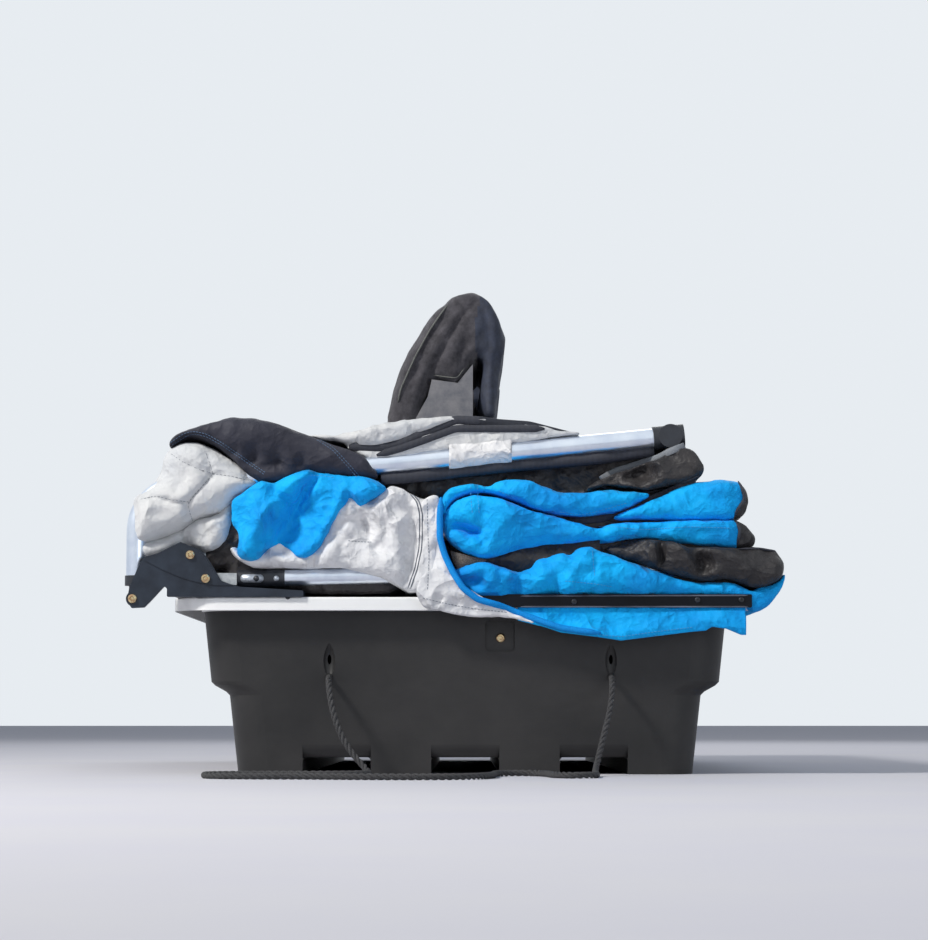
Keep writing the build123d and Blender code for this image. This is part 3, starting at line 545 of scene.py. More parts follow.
def swell(mesh, cap):
    """Wadding pushes a cover out: the cloth is blown up, and no point moves further than the cap."""
    start = mesh_points(mesh)
    soft = shown("swelling", mesh)
    cloth = soft.modifiers.new("cloth", "CLOTH")
    cloth.settings.quality = 4
    cloth.settings.use_pressure = True
    cloth.settings.uniform_pressure_force = wadding_pressure
    cloth.settings.effector_weights.gravity = 0.0
    cloth.point_cache.frame_start, cloth.point_cache.frame_end = 1, swell_frames
    for step in range(1, swell_frames + 1):
        bpy.context.scene.frame_set(step)
    blown = plain_mesh(soft)
    move = mesh_points(blown) - start
    far = np.linalg.norm(move, axis=1)[:, None]
    bpy.data.objects.remove(soft)
    bpy.data.meshes.remove(blown)
    bpy.context.scene.frame_set(1)
    move_points(mesh, start + move * np.minimum(1, cap / np.maximum(far, 1e-6)))


def off_line(points, line, closed=False):
    """Distance from points (n, 2) to a line, and how far along the line the nearest place is, 0 to 1."""
    ends = np.roll(line, -1, 0) if closed else line[1:]
    starts = line if closed else line[:-1]
    best, where = np.full(len(points), 1e9), np.zeros(len(points))
    for k, (a, b) in enumerate(zip(starts, ends)):
        run = b - a
        t = np.clip((points - a) @ run / max(run @ run, 1e-9), 0, 1)
        gap = np.linalg.norm(points - a - t[:, None] * run, axis=1)
        nearer = gap < best
        best[nearer], where[nearer] = gap[nearer], (k + t[nearer]) / len(starts)
    return best, where


def across_sled(points):
    """Points as X and Z in millimetres from the middle of the sled."""
    return points[:, [0, 2]] * 1000 - (sled_middle_x * 1000, 0)


def round_the_ends(mesh, line, end, radius, middle=0.0):
    """The flat ends of a roll turn over to its sides in a round edge."""
    points = mesh_points(mesh)
    inside, _ = off_line(across_sled(points), line, closed=True)
    side = points[:, 1] - middle
    depth = (end - np.abs(side)) * 1000
    edge = 1 - np.minimum(inside / radius, 1)
    pull = radius * (1 - np.sqrt(np.maximum(1 - edge ** 2, 0)))
    keep = np.clip(1 - depth / (2.2 * radius), 0, 1)
    points[:, 1] -= np.sign(side) * pull * keep / 1000
    move_points(mesh, points)


def crease(mesh, line, height, width, end, reach, middle):
    """A fold raised, or a crease sunk where height is less than 0, along a line on the ends of a layer."""
    points, normals = mesh_points(mesh), mesh_normals(mesh)
    away, along = off_line(across_sled(points), np.array(line, float))
    depth = np.maximum(end - np.abs(points[:, 1] - middle), 0)
    shape = np.exp(-(away / width) ** 2) * np.exp(-(depth / reach) ** 2)
    shape *= np.minimum(1, 5 * np.minimum(along, 1 - along) + 0.25)
    move_points(mesh, points + normals * (shape * height / 1000)[:, None])


def pucker(mesh, height, scale, seed, sharp=False):
    """Noise raised along the surface: smooth swells, or sharp-edged wrinkles. Its scale is in cycles a
    metre for each axis."""
    points, normals = mesh_points(mesh), mesh_normals(mesh)
    wave = np.array([noise.noise(q) for q in points * np.array(scale) + seed * 7.31])
    if sharp:
        wave = 1 - 2.6 * np.abs(wave)
    move_points(mesh, points + normals * (wave * height / 1000)[:, None])


def stuffed(name, lengths, end, cell, swells, wrinkles, edge=0, plump=0, creases=(), reach=0.05, middle=0.0):
    """A wadded layer: a skin with rounded ends, blown up, then creased and puckered. The end is its
    half length in millimetres; each crease is a line, its height and its width."""
    mesh = skin(name, lengths, *cell)
    if edge:
        round_the_ends(mesh, lengths[0][0], end / 1000, edge, middle)
    if plump:
        swell(mesh, plump)
    for line, height, width in creases:
        crease(mesh, line, height, width, end / 1000, reach, middle)
    pucker(mesh, *swells)
    pucker(mesh, *wrinkles, sharp=True)
    return mesh


def quilt_rows(mesh, spacing, depth, width):
    """Quilting lines sewn across a layer at even places along the sled, sunk into the wadding."""
    points, normals = mesh_points(mesh), mesh_normals(mesh)
    away = np.abs((points[:, 1] / spacing + 0.5) % 1 - 0.5) * spacing * 1000
    inner = np.clip((0.70 - np.abs(points[:, 1])) / 0.04, 0, 1)
    move_points(mesh, points - normals * (inner * depth * np.exp(-(away / (3 * width)) ** 2) / 1000)[:, None])


def soft_layer(name, mesh, material, slot_name, fill, *nodes):
    """Sets a finished layer in the scene, with its material, in place of its plain solid."""
    mesh.materials.clear()
    mesh.materials.append(material)
    piece = shown(name, mesh)
    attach(piece, "root")
    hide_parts(*nodes)


bulge_line = rounded([
    (-480, 518), (-456, 530), (-440, 531), (-424, 528), (-400, 515), (-368, 494), (-344, 475), (-333, 466),
    (-351, 454), (-368, 445), (-384, 430), (-405, 419), (-424, 413), (-448, 402), (-472, 390), (-492, 382),
    (-512, 374), (-525, 370), (-532, 384), (-535, 400), (-536, 421), (-532, 440), (-519, 450), (-504, 466),
    (-493, 482), (-488, 496)])
bulge_seams = [
    [(-416, 517), (-410, 496), (-405, 478), (-420, 461), (-436, 443), (-445, 430), (-440, 405)],
    [(-405, 478), (-380, 477), (-341, 470)], [(-445, 435), (-469, 435), (-492, 443), (-520, 440)],
    [(-480, 518), (-456, 501), (-431, 488), (-405, 478)]]
bulge_ridges = [
    [(-456, 507), (-437, 494), (-424, 475)], [(-504, 453), (-472, 440), (-448, 442)],
    [(-520, 421), (-492, 427), (-463, 421)], [(-504, 398), (-472, 408), (-450, 421)]]
bulge_reach = 776
bulge_mesh = stuffed(
    "quilt_bulge_cloth", [(bulge_line, -bulge_reach, bulge_reach)], end=bulge_reach, cell=(0.005, 2.4, 5),
    swells=(3, (9, 5, 9), 1), wrinkles=(2.2, (22, 12, 22), 2), edge=30, plump=0.003,
    creases=[(seam, -5, 4) for seam in bulge_seams] + [(ridge, 3, 7) for ridge in bulge_ridges], reach=0.08)
quilt_rows(bulge_mesh, spacing=0.150, depth=5, width=3)
soft_layer("quilt_bulge_cloth", bulge_mesh, white_lining, "white_quilt", 0.5, "quilt_bulge")

# Second white roll: the lower edge of the same wall, tucked under the bulge on to the brackets.
# It is lined and wadded like the bulge, with two deep creases and two ridges at each end.
wall_reach = 757
roll_line = rounded([
    (-530, 365), (-525, 352), (-517, 346), (-496, 350), (-480, 357), (-460, 368), (-450, 371), (-440, 366),
    (-424, 362), (-405, 365), (-389, 374), (-380, 389), (-375, 408), (-373, 426), (-378, 437), (-389, 427),
    (-405, 416), (-424, 410), (-448, 398), (-472, 387), (-492, 379), (-512, 371)])
roll_mesh = stuffed(
    "quilt_roll_cloth", [(roll_line, -wall_reach, wall_reach)], end=wall_reach, cell=(0.005, 2.4, 4),
    swells=(3.5, (12, 6, 12), 4), wrinkles=(2.2, (26, 12, 26), 5), edge=20, plump=0.005, creases=[
        ([(-463, 387), (-450, 382), (-455, 366)], -9, 6), ([(-424, 406), (-415, 392), (-418, 376)], -4, 5),
        ([(-400, 414), (-404, 395), (-392, 379)], 5, 7), ([(-447, 390), (-431, 398), (-408, 408)], 5, 7)])
soft_layer("quilt_roll_cloth", roll_mesh, white_lining, "white_quilt", 0.4, "quilt_roll")

# Black roof panel: coated cloth pulled over the bulge, with a double row of stitches along its edge.
# Stiff cloth folds in flat facets, so its folds are raised as joined facets at both ends. Between
# the ends the layer runs only beside the seats, because they stand in the heap.
roof_reach = 768
bay_left, bay_right = -250, 215
bay_end, bay_lap = 556, 6
facet_reach = 0.06


def right_of(line, edge):
    """The part of a closed line that lies to the right of an edge."""
    kept = []
    for k in range(len(line)):
        a, b = line[k - 1], line[k]
        if (a[0] < edge) != (b[0] < edge):
            kept.append(a + (b - a) * (edge - a[0]) / (b[0] - a[0]))
        if b[0] >= edge:
            kept.append(b)
    return np.array(kept)


def left_of(line, edge):
    """The part of a closed line that lies to the left of an edge."""
    return right_of(line * (-1, 1), -edge)[::-1] * (-1, 1)


def well_lengths(line, end, edge=bay_right):
    """A layer that stands whole at both ends, and between them only beside the seats."""
    beside = left_of(line, bay_left) if line[:, 0].min() < bay_left else right_of(line, edge)
    return [(line, -end, -bay_end), (beside, -bay_end - bay_lap, bay_end + bay_lap), (line, bay_end, end)]


def relief(mesh, points, end):
    """Folds on the ends of a layer: places on ridges and in creases, each with how far it stands out
    in millimetres, joined by flat facets as stiff cloth is."""
    marks = np.array(points, float)
    flat = [Vector((x, z)) for x, z in marks[:, :2]]
    corners, _, facets, origin, _, _ = delaunay_2d_cdt(flat, [], [], 0, 0.01)
    height = {k: marks[origin[k][0], 2] for k in range(len(corners)) if origin[k]}
    around = mesh_points(mesh)
    side = around[:, 1]
    near = np.abs(side) > end - 2.2 * facet_reach
    places = across_sled(around[near])
    lift = np.full(len(places), np.nan)
    for facet in facets:
        a, b, c = (np.array(corners[k]) for k in facet)
        turn = (b[1] - c[1]) * (a[0] - c[0]) + (c[0] - b[0]) * (a[1] - c[1])
        if abs(turn) < 1e-6:
            continue
        u = ((b[1] - c[1]) * (places[:, 0] - c[0]) + (c[0] - b[0]) * (places[:, 1] - c[1])) / turn
        v = ((c[1] - a[1]) * (places[:, 0] - c[0]) + (a[0] - c[0]) * (places[:, 1] - c[1])) / turn
        w = 1 - u - v
        inside = (u >= -1e-6) & (v >= -1e-6) & (w >= -1e-6)
        lift[inside] = (u * height[facet[0]] + v * height[facet[1]] + w * height[facet[2]])[inside]
    for k in np.nonzero(np.isnan(lift))[0]:
        nearest = np.argmin(np.linalg.norm(marks[:, :2] - places[k], axis=1))
        lift[k] = marks[nearest, 2]
    fade = np.exp(-(np.maximum(end - np.abs(side[near]), 0) / facet_reach) ** 2)
    lift *= np.where(lift < 0, 2.2, 1.4)
    around[near, 1] += np.sign(side[near]) * lift * fade / 1000
    move_points(mesh, around)


def tidy(mesh, times):
    """Softens the sharpest edges of a layer a little."""
    points = mesh_points(mesh)
    edges = np.empty(len(mesh.edges) * 2, np.int32)
    mesh.edges.foreach_get("vertices", edges)
    edges = edges.reshape(-1, 2)
    around = np.bincount(edges.ravel(), minlength=len(points))[:, None]
    for _ in range(times):
        total = np.zeros_like(points)
        np.add.at(total, edges[:, 0], points[edges[:, 1]])
        np.add.at(total, edges[:, 1], points[edges[:, 0]])
        points = 0.5 * points + 0.5 * total / np.maximum(around, 1)
    move_points(mesh, points)


def folded(name, lengths, end, edge, places, wrinkle, seed, fine=(26, 12, 30), cell=(0.0042, 2.6, 2),
           ease=2, swells=()):
    """A folded layer: a skin with rounded ends, its folds raised in facets, then fine wrinkles."""
    mesh = skin(name, lengths, *cell)
    if edge:
        round_the_ends(mesh, lengths[0][0], end / 1000, edge)
    relief(mesh, places, end / 1000)
    tidy(mesh, ease)
    if swells:
        pucker(mesh, *swells)
    pucker(mesh, wrinkle, fine, seed, sharp=True)
    return mesh


roof_line = rounded([
    (-480, 523), (-476, 536), (-466, 547), (-447, 555), (-424, 562), (-389, 571), (-373, 574), (-360, 571),
    (-335, 570), (-304, 562), (-264, 547), (-232, 536), (-192, 522), (-167, 512), (-157, 504), (-149, 491),
    (-138, 477), (-149, 474), (-192, 475), (-232, 480), (-256, 482), (-272, 477), (-288, 472), (-312, 466),
    (-328, 467), (-348, 480), (-372, 502), (-400, 525), (-424, 536), (-440, 541), (-456, 539)])
roof_folds = [
    (-480, 523, 0), (-476, 536, 2), (-447, 555, 4), (-416, 563, 4), (-373, 574, 5), (-335, 570, 5),
    (-304, 562, 5), (-264, 547, 4), (-232, 536, 4), (-192, 522, 3), (-157, 504, 2), (-138, 477, 0),
    (-192, 480, 0), (-232, 488, 0), (-256, 493, 0), (-288, 480, 0), (-325, 474, 0), (-344, 486, 2),
    (-368, 506, 3), (-400, 525, 3), (-424, 536, 3), (-440, 541, 2), (-376, 552, 9), (-336, 542, 10),
    (-296, 531, 9), (-256, 520, 9), (-216, 507, 8), (-380, 526, 8), (-360, 522, 4), (-325, 515, 4),
    (-280, 506, 3), (-373, 517, -8), (-344, 507, -9), (-304, 499, -8), (-264, 498, -6), (-352, 499, -3),
    (-328, 486, -2), (-304, 483, 1), (-232, 498, 4), (-200, 491, 6), (-168, 488, 5), (-424, 550, 7),
    (-448, 546, 5)]
roof_mesh = folded(
    "roof_panel_cloth", well_lengths(roof_line, roof_reach), end=roof_reach, edge=16, places=roof_folds,
    wrinkle=1.2, seed=7, fine=(20, 9, 20), cell=(0.005, 2.4, 4), ease=3, swells=(4, (5, 4, 5), 6))
soft_layer("roof_panel_cloth", roof_mesh, black_roof, "black_cloth", 0.3, "roof_panel")

# Blue door drape: a loose bundle of coated nylon at each end, with big slanting folds. It hangs
# from under the top tube and is cut to end short of the seats.
fold_reach = 772


def both_layers(name, mesh, material, slot_name, fill, node, move=0.0):
    """The same layer near and far: mirrored, or moved along the sled where a move is given."""
    soft_layer("near_" + name, mesh, material, slot_name, fill, "near_" + node)
    far = mesh.copy()
    far.name = "far_" + name
    points = mesh_points(far)
    points[:, 1] = points[:, 1] + move if move else -points[:, 1]
    move_points(far, points)
    if not move:
        far.flip_normals()
    soft_layer("far_" + name, far, material, slot_name, fill, "far_" + node)


drape_line = rounded([
    (-373, 437), (-360, 448), (-341, 462), (-325, 469), (-312, 464), (-288, 474), (-256, 486), (-232, 482),
    (-192, 477), (-160, 475), (-140, 467), (-125, 456), (-144, 443), (-164, 429), (-173, 430), (-184, 442),
    (-191, 432), (-202, 418), (-212, 403), (-221, 384), (-232, 365), (-245, 352), (-260, 344), (-274, 352),
    (-288, 363), (-309, 365), (-322, 355), (-333, 342), (-349, 341), (-362, 346), (-365, 360), (-362, 376),
    (-364, 390), (-372, 397), (-375, 416)])
drape_folds = [
    (-375, 416, 0), (-372, 437, 2), (-341, 462, 4), (-325, 469, 6), (-312, 464, 4), (-288, 474, 6),
    (-256, 488, 4), (-232, 482, 0), (-192, 477, 2), (-160, 475, 3), (-125, 456, 5), (-144, 443, 4),
    (-165, 427, 2), (-184, 440, -3), (-212, 403, 3), (-232, 365, 4), (-260, 344, 2), (-288, 363, -4),
    (-309, 365, -3), (-333, 342, 3), (-349, 341, 4), (-362, 346, 3), (-365, 363, 3), (-364, 390, 3),
    (-255, 475, 10), (-279, 459, 14), (-303, 435, 16), (-325, 408, 17), (-341, 381, 15), (-351, 357, 11),
    (-335, 453, 3), (-349, 427, 4), (-356, 402, 5), (-356, 373, 6), (-308, 464, -2), (-303, 446, 0),
    (-319, 440, 9), (-332, 445, 9), (-325, 458, 10), (-335, 418, 9), (-344, 397, 10), (-244, 469, -6),
    (-260, 451, -13), (-274, 430, -15), (-285, 408, -14), (-292, 387, -12), (-303, 371, -9), (-236, 440, -4),
    (-250, 430, -6), (-221, 430, 2), (-216, 416, 3), (-229, 408, -4), (-239, 389, -3), (-258, 408, -8),
    (-266, 386, -6), (-255, 368, 0), (-263, 350, 2), (-277, 376, -10), (-279, 395, -13), (-284, 374, -9),
    (-245, 454, 2), (-229, 461, 6), (-212, 454, 4), (-194, 451, 7), (-200, 440, 8), (-212, 440, 0),
    (-232, 450, 3), (-191, 450, -1), (-184, 461, 3), (-181, 438, -4), (-173, 445, 8), (-159, 440, 9),
    (-149, 458, 8), (-172, 466, 4), (-143, 466, 5), (-204, 424, 9), (-215, 408, 8), (-224, 389, 9),
    (-240, 366, 8)]
drape_mesh = folded(
    "near_door_drape_cloth", [(drape_line, -fold_reach, -bay_end)], end=fold_reach, edge=6,
    places=drape_folds, wrinkle=1.4, seed=9, fine=(30, 14, 30), cell=(0.004, 1.6, 3))
both_layers("door_drape_cloth", drape_mesh, blue_nylon, "blue_cloth", 0.3, "door_drape")

# Grey side panel: the tent's end wall, bunched up beside the drape and hanging over the rim in a
# pleated band with a narrow flap, which a blue edge binding finishes. The three are sewn together.
panel_reach = 762
panel_wrinkles = dict(wrinkle=1.3, seed=11, fine=(34, 16, 34))
side_line = rounded([
    (-378, 363), (-370, 349), (-352, 336), (-328, 330), (-296, 331), (-264, 330), (-240, 328), (-200, 331),
    (-181, 326), (-144, 317), (-120, 307), (-101, 296), (-87, 291), (-66, 293), (-45, 293), (-44, 328),
    (-42, 360), (-42, 392), (-44, 424), (-42, 442), (-52, 448), (-66, 442), (-88, 450), (-104, 458),
    (-120, 461), (-143, 446), (-164, 432), (-173, 435), (-184, 445), (-191, 437), (-204, 422), (-213, 408),
    (-223, 389), (-234, 370), (-245, 358), (-260, 350), (-274, 358), (-288, 370), (-309, 371), (-324, 362),
    (-335, 349), (-349, 347), (-360, 350), (-367, 362)])
band_line = rounded([
    (-68, 438), (-52, 445), (-40, 438), (-40, 368), (-31, 344), (-18, 318), (-4, 296), (-21, 280),
    (-40, 267), (-60, 270), (-71, 277), (-77, 296), (-72, 344), (-71, 408)])
flap_line = rounded([
    (-77, 296), (-72, 275), (-60, 264), (-40, 261), (-8, 254), (24, 251), (56, 251), (88, 246), (113, 240),
    (88, 251), (56, 266), (24, 283), (-4, 302), (-40, 328), (-64, 320)])
side_folds = [
    (-378, 363, 0), (-370, 349, 3), (-352, 336, 4), (-328, 330, 0), (-296, 331, -3), (-264, 330, 3),
    (-244, 326, -6), (-236, 331, 4), (-200, 331, 5), (-191, 325, -5), (-181, 326, 4), (-144, 317, 4),
    (-101, 296, 0), (-87, 291, 0), (-66, 293, 2), (-45, 293, 6), (-42, 344, 6), (-44, 408, 6), (-42, 442, 5),
    (-52, 448, 3), (-66, 442, 0), (-88, 450, 2), (-104, 458, 2), (-120, 461, 4), (-141, 440, 3),
    (-164, 422, 2), (-184, 435, 6), (-199, 413, 3), (-218, 379, 2), (-245, 346, 1), (-260, 338, 2),
    (-277, 346, 0), (-308, 358, -4), (-333, 336, 2), (-365, 341, 2), (-370, 357, 1), (-188, 430, 9),
    (-181, 418, 9), (-189, 408, 2), (-183, 395, 7), (-173, 384, 3), (-180, 376, -2), (-186, 363, 4),
    (-189, 344, 2), (-186, 334, 0), (-175, 424, -6), (-165, 405, -9), (-156, 382, -7), (-151, 368, -1),
    (-146, 360, -4), (-135, 366, -2), (-128, 384, -2), (-132, 402, 2), (-152, 416, 8), (-136, 432, 10),
    (-117, 443, 9), (-106, 424, 5), (-120, 408, 7), (-136, 389, 3), (-112, 384, 9), (-101, 400, 8),
    (-92, 440, -3), (-85, 416, -5), (-79, 384, -6), (-80, 352, -6), (-87, 325, -5), (-98, 304, -3),
    (-72, 424, 4), (-68, 392, 5), (-68, 352, 5), (-74, 320, 4), (-159, 368, 3), (-168, 360, 5),
    (-149, 350, 9), (-128, 344, 10), (-108, 341, 6), (-108, 320, 3), (-100, 336, -2), (-111, 304, 1),
    (-104, 325, 6), (-128, 328, 7), (-160, 336, 6), (-208, 368, 8), (-223, 352, 9), (-212, 344, 10),
    (-200, 352, 4), (-192, 368, 1), (-204, 384, 3), (-229, 341, 6), (-242, 341, -5), (-252, 334, 4),
    (-264, 342, 5), (-280, 338, 6), (-300, 347, 4), (-316, 344, 1), (-325, 339, 3), (-336, 333, 4),
    (-360, 344, 5)]
band_folds = [
    (-77, 296, 0), (-71, 408, 0), (-68, 438, 2), (-61, 408, -5), (-61, 328, -5), (-55, 440, 4),
    (-55, 376, 5), (-55, 296, 4), (-48, 424, -3), (-48, 360, -4), (-50, 296, -3), (-40, 438, 3),
    (-42, 376, 4), (-39, 344, 3), (-24, 328, 4), (-4, 296, 5), (-29, 304, 0), (-44, 280, 3), (-60, 270, 2),
    (-21, 280, 3), (-36, 291, -2), (-45, 312, 2)]
flap_folds = [
    (-77, 296, 2), (-60, 264, 1), (-40, 261, 0), (-8, 254, 0), (24, 251, 0), (88, 246, 0), (24, 283, 3),
    (-4, 302, 4), (-40, 328, 3), (-28, 283, 5), (-15, 272, -1), (-2, 280, 4), (11, 264, -1), (-40, 280, -2),
    (-53, 286, 3), (56, 261, 2)]
side_parts = [
    folded("near_side_panel_cloth", [(side_line, -panel_reach, -bay_end)], end=panel_reach, edge=9,
           places=side_folds, cell=(0.004, 1.6, 2), **panel_wrinkles),
    folded("near_side_band", [(band_line, -fold_reach, -735)], end=fold_reach, edge=8,
           places=band_folds, cell=(0.004, 1.0, 2), **panel_wrinkles),
    folded("near_side_flap", [(flap_line, -776, -766)], end=775, edge=0,
           places=flap_folds, cell=(0.0026, 1.0, 2), **panel_wrinkles)]
sewn_parts = bmesh.new()
for part in side_parts:
    sewn_parts.from_mesh(part)
whole_side = bpy.data.meshes.new("near_side_panel_cloth")
sewn_parts.to_mesh(whole_side)
sewn_parts.free()
whole_side.shade_smooth()
both_layers("side_panel_cloth", whole_side, grey_nylon, "grey_cloth", 0.3, "side_panel")

# Lower blue fold: the cloth that comes up from the clamp strip and doubles back over itself. At its
# right end it wraps down round the rim.
lower_line = rounded([
    (-26, 322), (-5, 331), (32, 339), (56, 331), (91, 323), (107, 338), (128, 346), (152, 352), (192, 363),
    (216, 357), (280, 333), (344, 312), (376, 306), (416, 307), (443, 299), (467, 285), (467, 283),
    (376, 283), (152, 283), (24, 283), (4, 293), (-15, 312)])
wrap_line = rounded([
    (467, 296), (488, 301), (504, 309), (515, 325), (515, 314), (504, 293), (488, 272), (472, 262),
    (456, 262), (452, 280)])
lower_folds = [
    (-26, 322, 0), (-5, 331, 2), (35, 339, 4), (56, 331, 4), (91, 323, 3), (107, 338, -8), (128, 350, -8),
    (152, 354, 2), (195, 363, 3), (225, 350, 3), (280, 333, 3), (344, 315, 2), (376, 307, 0), (416, 312, 1),
    (443, 301, 0), (467, 283, 0), (376, 283, -4), (296, 283, -4), (216, 283, -5), (152, 283, -5),
    (88, 283, -3), (40, 283, 0), (4, 293, -2), (-15, 312, -2), (16, 323, 9), (40, 328, 12), (72, 317, 12),
    (120, 306, 11), (168, 299, 9), (212, 294, 5), (16, 307, -6), (72, 296, -8), (136, 290, -8),
    (211, 286, -7), (32, 291, 2), (56, 290, 2), (104, 350, -12), (136, 357, -12), (161, 358, -12),
    (100, 334, -9), (121, 341, 7), (155, 350, 10), (195, 358, 12), (206, 357, 4), (216, 349, 8),
    (136, 325, 8), (168, 331, 9), (196, 341, 11), (206, 325, 4), (169, 312, 12), (211, 317, 10),
    (145, 314, 3), (184, 307, 2), (232, 334, 9), (256, 325, 10), (256, 302, 5), (288, 314, 9), (320, 307, 7),
    (344, 301, 4), (376, 293, -2), (416, 296, -3), (312, 293, -3), (432, 293, -2), (235, 312, 6)]
lower_mesh = folded(
    "lower_fold_cloth", well_lengths(lower_line, fold_reach) + [(wrap_line, -762, 762)], end=fold_reach,
    edge=8, places=lower_folds, wrinkle=1.5, seed=13)
soft_layer("lower_fold_cloth", lower_mesh, blue_nylon, "blue_cloth", 0.3, "lower_fold")

# Middle blue fold: a broad bundle at the left that runs out to the right in one long flat tongue.
# It lies loose on the lower fold.
middle_line = rounded([
    (-36, 406), (-24, 429), (8, 445), (56, 440), (104, 422), (152, 410), (212, 394), (235, 400), (280, 403),
    (344, 406), (416, 406), (436, 405), (449, 398), (465, 378), (462, 365), (435, 362), (408, 365),
    (360, 368), (296, 376), (273, 378), (216, 370), (152, 366), (88, 358), (56, 349), (36, 344), (4, 352),
    (-16, 363), (-31, 382)])
middle_folds = [
    (-36, 406, 0), (-24, 429, 3), (-12, 440, 4), (8, 446, 5), (20, 461, 5), (40, 462, 5), (56, 445, 4),
    (96, 427, 3), (152, 410, 2), (212, 394, 0), (235, 400, 2), (280, 405, 2), (344, 406, 2), (425, 406, 2),
    (438, 392, 0), (435, 366, -2), (355, 368, -2), (296, 378, -3), (256, 381, -3), (216, 370, -4),
    (152, 366, -4), (91, 358, -4), (40, 346, 0), (20, 347, 2), (4, 352, 0), (-16, 363, 0), (-31, 382, 0),
    (30, 456, 8), (38, 440, 12), (51, 426, 14), (54, 408, 14), (48, 384, 13), (41, 360, 9), (9, 456, 6),
    (11, 432, 7), (20, 432, 8), (20, 416, 9), (11, 413, 10), (0, 418, 11), (19, 419, 11), (8, 402, 10),
    (-4, 406, 6), (-24, 397, -4), (-12, 394, -10), (4, 392, -12), (19, 389, -10), (11, 382, -9),
    (-21, 387, 0), (-29, 379, 5), (-12, 382, 7), (-7, 374, 5), (-24, 370, 4), (0, 376, 1), (14, 376, 6),
    (17, 363, 8), (1, 355, 6), (27, 350, 9), (30, 368, 2), (25, 392, 4), (27, 416, 5), (64, 432, 13),
    (80, 421, 12), (94, 421, 11), (99, 400, 7), (105, 386, 10), (88, 368, 2), (67, 363, 4), (113, 408, 7),
    (123, 386, 8), (139, 397, 7), (152, 384, 5), (184, 390, 3), (200, 379, 1), (216, 384, -1), (240, 390, 4),
    (280, 395, 7), (344, 397, 8), (408, 397, 8), (432, 389, 5), (280, 387, 2), (344, 384, 3), (408, 379, 2),
    (75, 395, 10), (-12, 421, 7), (-21, 411, 2), (-5, 429, 4)]
middle_mesh = folded(
    "middle_fold_cloth", well_lengths(middle_line, fold_reach), end=fold_reach, edge=7,
    places=middle_folds, wrinkle=1.5, seed=15)
soft_layer("middle_fold_cloth", middle_mesh, blue_nylon, "blue_cloth", 0.3, "middle_fold")

# Upper blue folds: the bundle over the middle one, and the flat fold with a zip edge to its right.
# Both are of the same blue nylon, and the right one's tip is sewn on in black cloth.
upper_line = rounded([
    (-37, 438), (-29, 453), (-12, 462), (16, 464), (40, 461), (56, 469), (80, 472), (104, 469), (128, 459),
    (152, 451), (184, 450), (232, 454), (280, 451), (299, 448), (280, 435), (248, 422), (216, 416),
    (176, 413), (144, 414), (104, 427), (56, 445), (8, 450), (-24, 434), (-34, 414)])
right_line = rounded([
    (382, 469), (424, 470), (443, 464), (452, 453), (454, 432), (448, 416), (432, 408), (376, 406),
    (296, 408), (235, 408), (248, 416), (280, 430), (312, 443), (344, 458)])
upper_folds = [
    (-37, 438, 0), (-29, 453, 2), (-12, 462, 3), (16, 464, 4), (46, 462, 4), (64, 470, 5), (80, 474, 5),
    (104, 470, 5), (131, 462, 4), (152, 454, 3), (184, 450, 3), (211, 454, 3), (240, 453, 3), (280, 451, 1),
    (296, 446, 0), (280, 437, 0), (248, 426, 0), (211, 419, 2), (166, 411, 2), (142, 416, 0), (99, 422, 0),
    (51, 445, 2), (8, 450, 2), (-24, 434, 0), (-34, 414, 0), (56, 456, 6), (75, 446, 9), (96, 435, 9),
    (107, 426, 5), (120, 448, 7), (104, 456, 10), (136, 442, 6), (152, 432, 8), (128, 427, 4), (184, 440, 7),
    (216, 443, 9), (240, 437, 7), (264, 442, 5), (176, 424, 4), (216, 429, 5), (88, 464, 9), (72, 459, 4),
    (112, 462, 5), (145, 446, 9), (200, 435, 4)]
right_folds = [
    (382, 469, 2), (424, 472, 3), (443, 464, 2), (452, 453, 0), (454, 432, 0), (448, 416, 0), (432, 408, 0),
    (376, 406, 0), (296, 408, 0), (235, 408, 0), (248, 416, 2), (280, 430, 3), (312, 443, 4), (344, 458, 4),
    (380, 448, 5), (382, 424, 5), (385, 413, 3), (401, 456, 10), (420, 459, 9), (436, 451, 6), (416, 440, 7),
    (432, 429, 6), (408, 419, 4), (395, 435, 3), (360, 440, 6), (328, 430, 6), (296, 419, 4),
    (344, 418, 2)]
upper_mesh = folded(
    "upper_fold_cloth", well_lengths(upper_line, fold_reach), end=fold_reach, edge=7,
    places=upper_folds, wrinkle=1.5, seed=17)
right_mesh = folded(
    "upper_fold_right_cloth", [(right_line, -fold_reach, fold_reach)], end=fold_reach, edge=8,
    places=right_folds, wrinkle=1.3, seed=19)
soft_layer("upper_fold_cloth", upper_mesh, blue_nylon, "blue_cloth", 0.3, "upper_fold")
soft_layer("upper_fold_right_cloth", right_mesh, blue_nylon, "blue_cloth", 0.3)

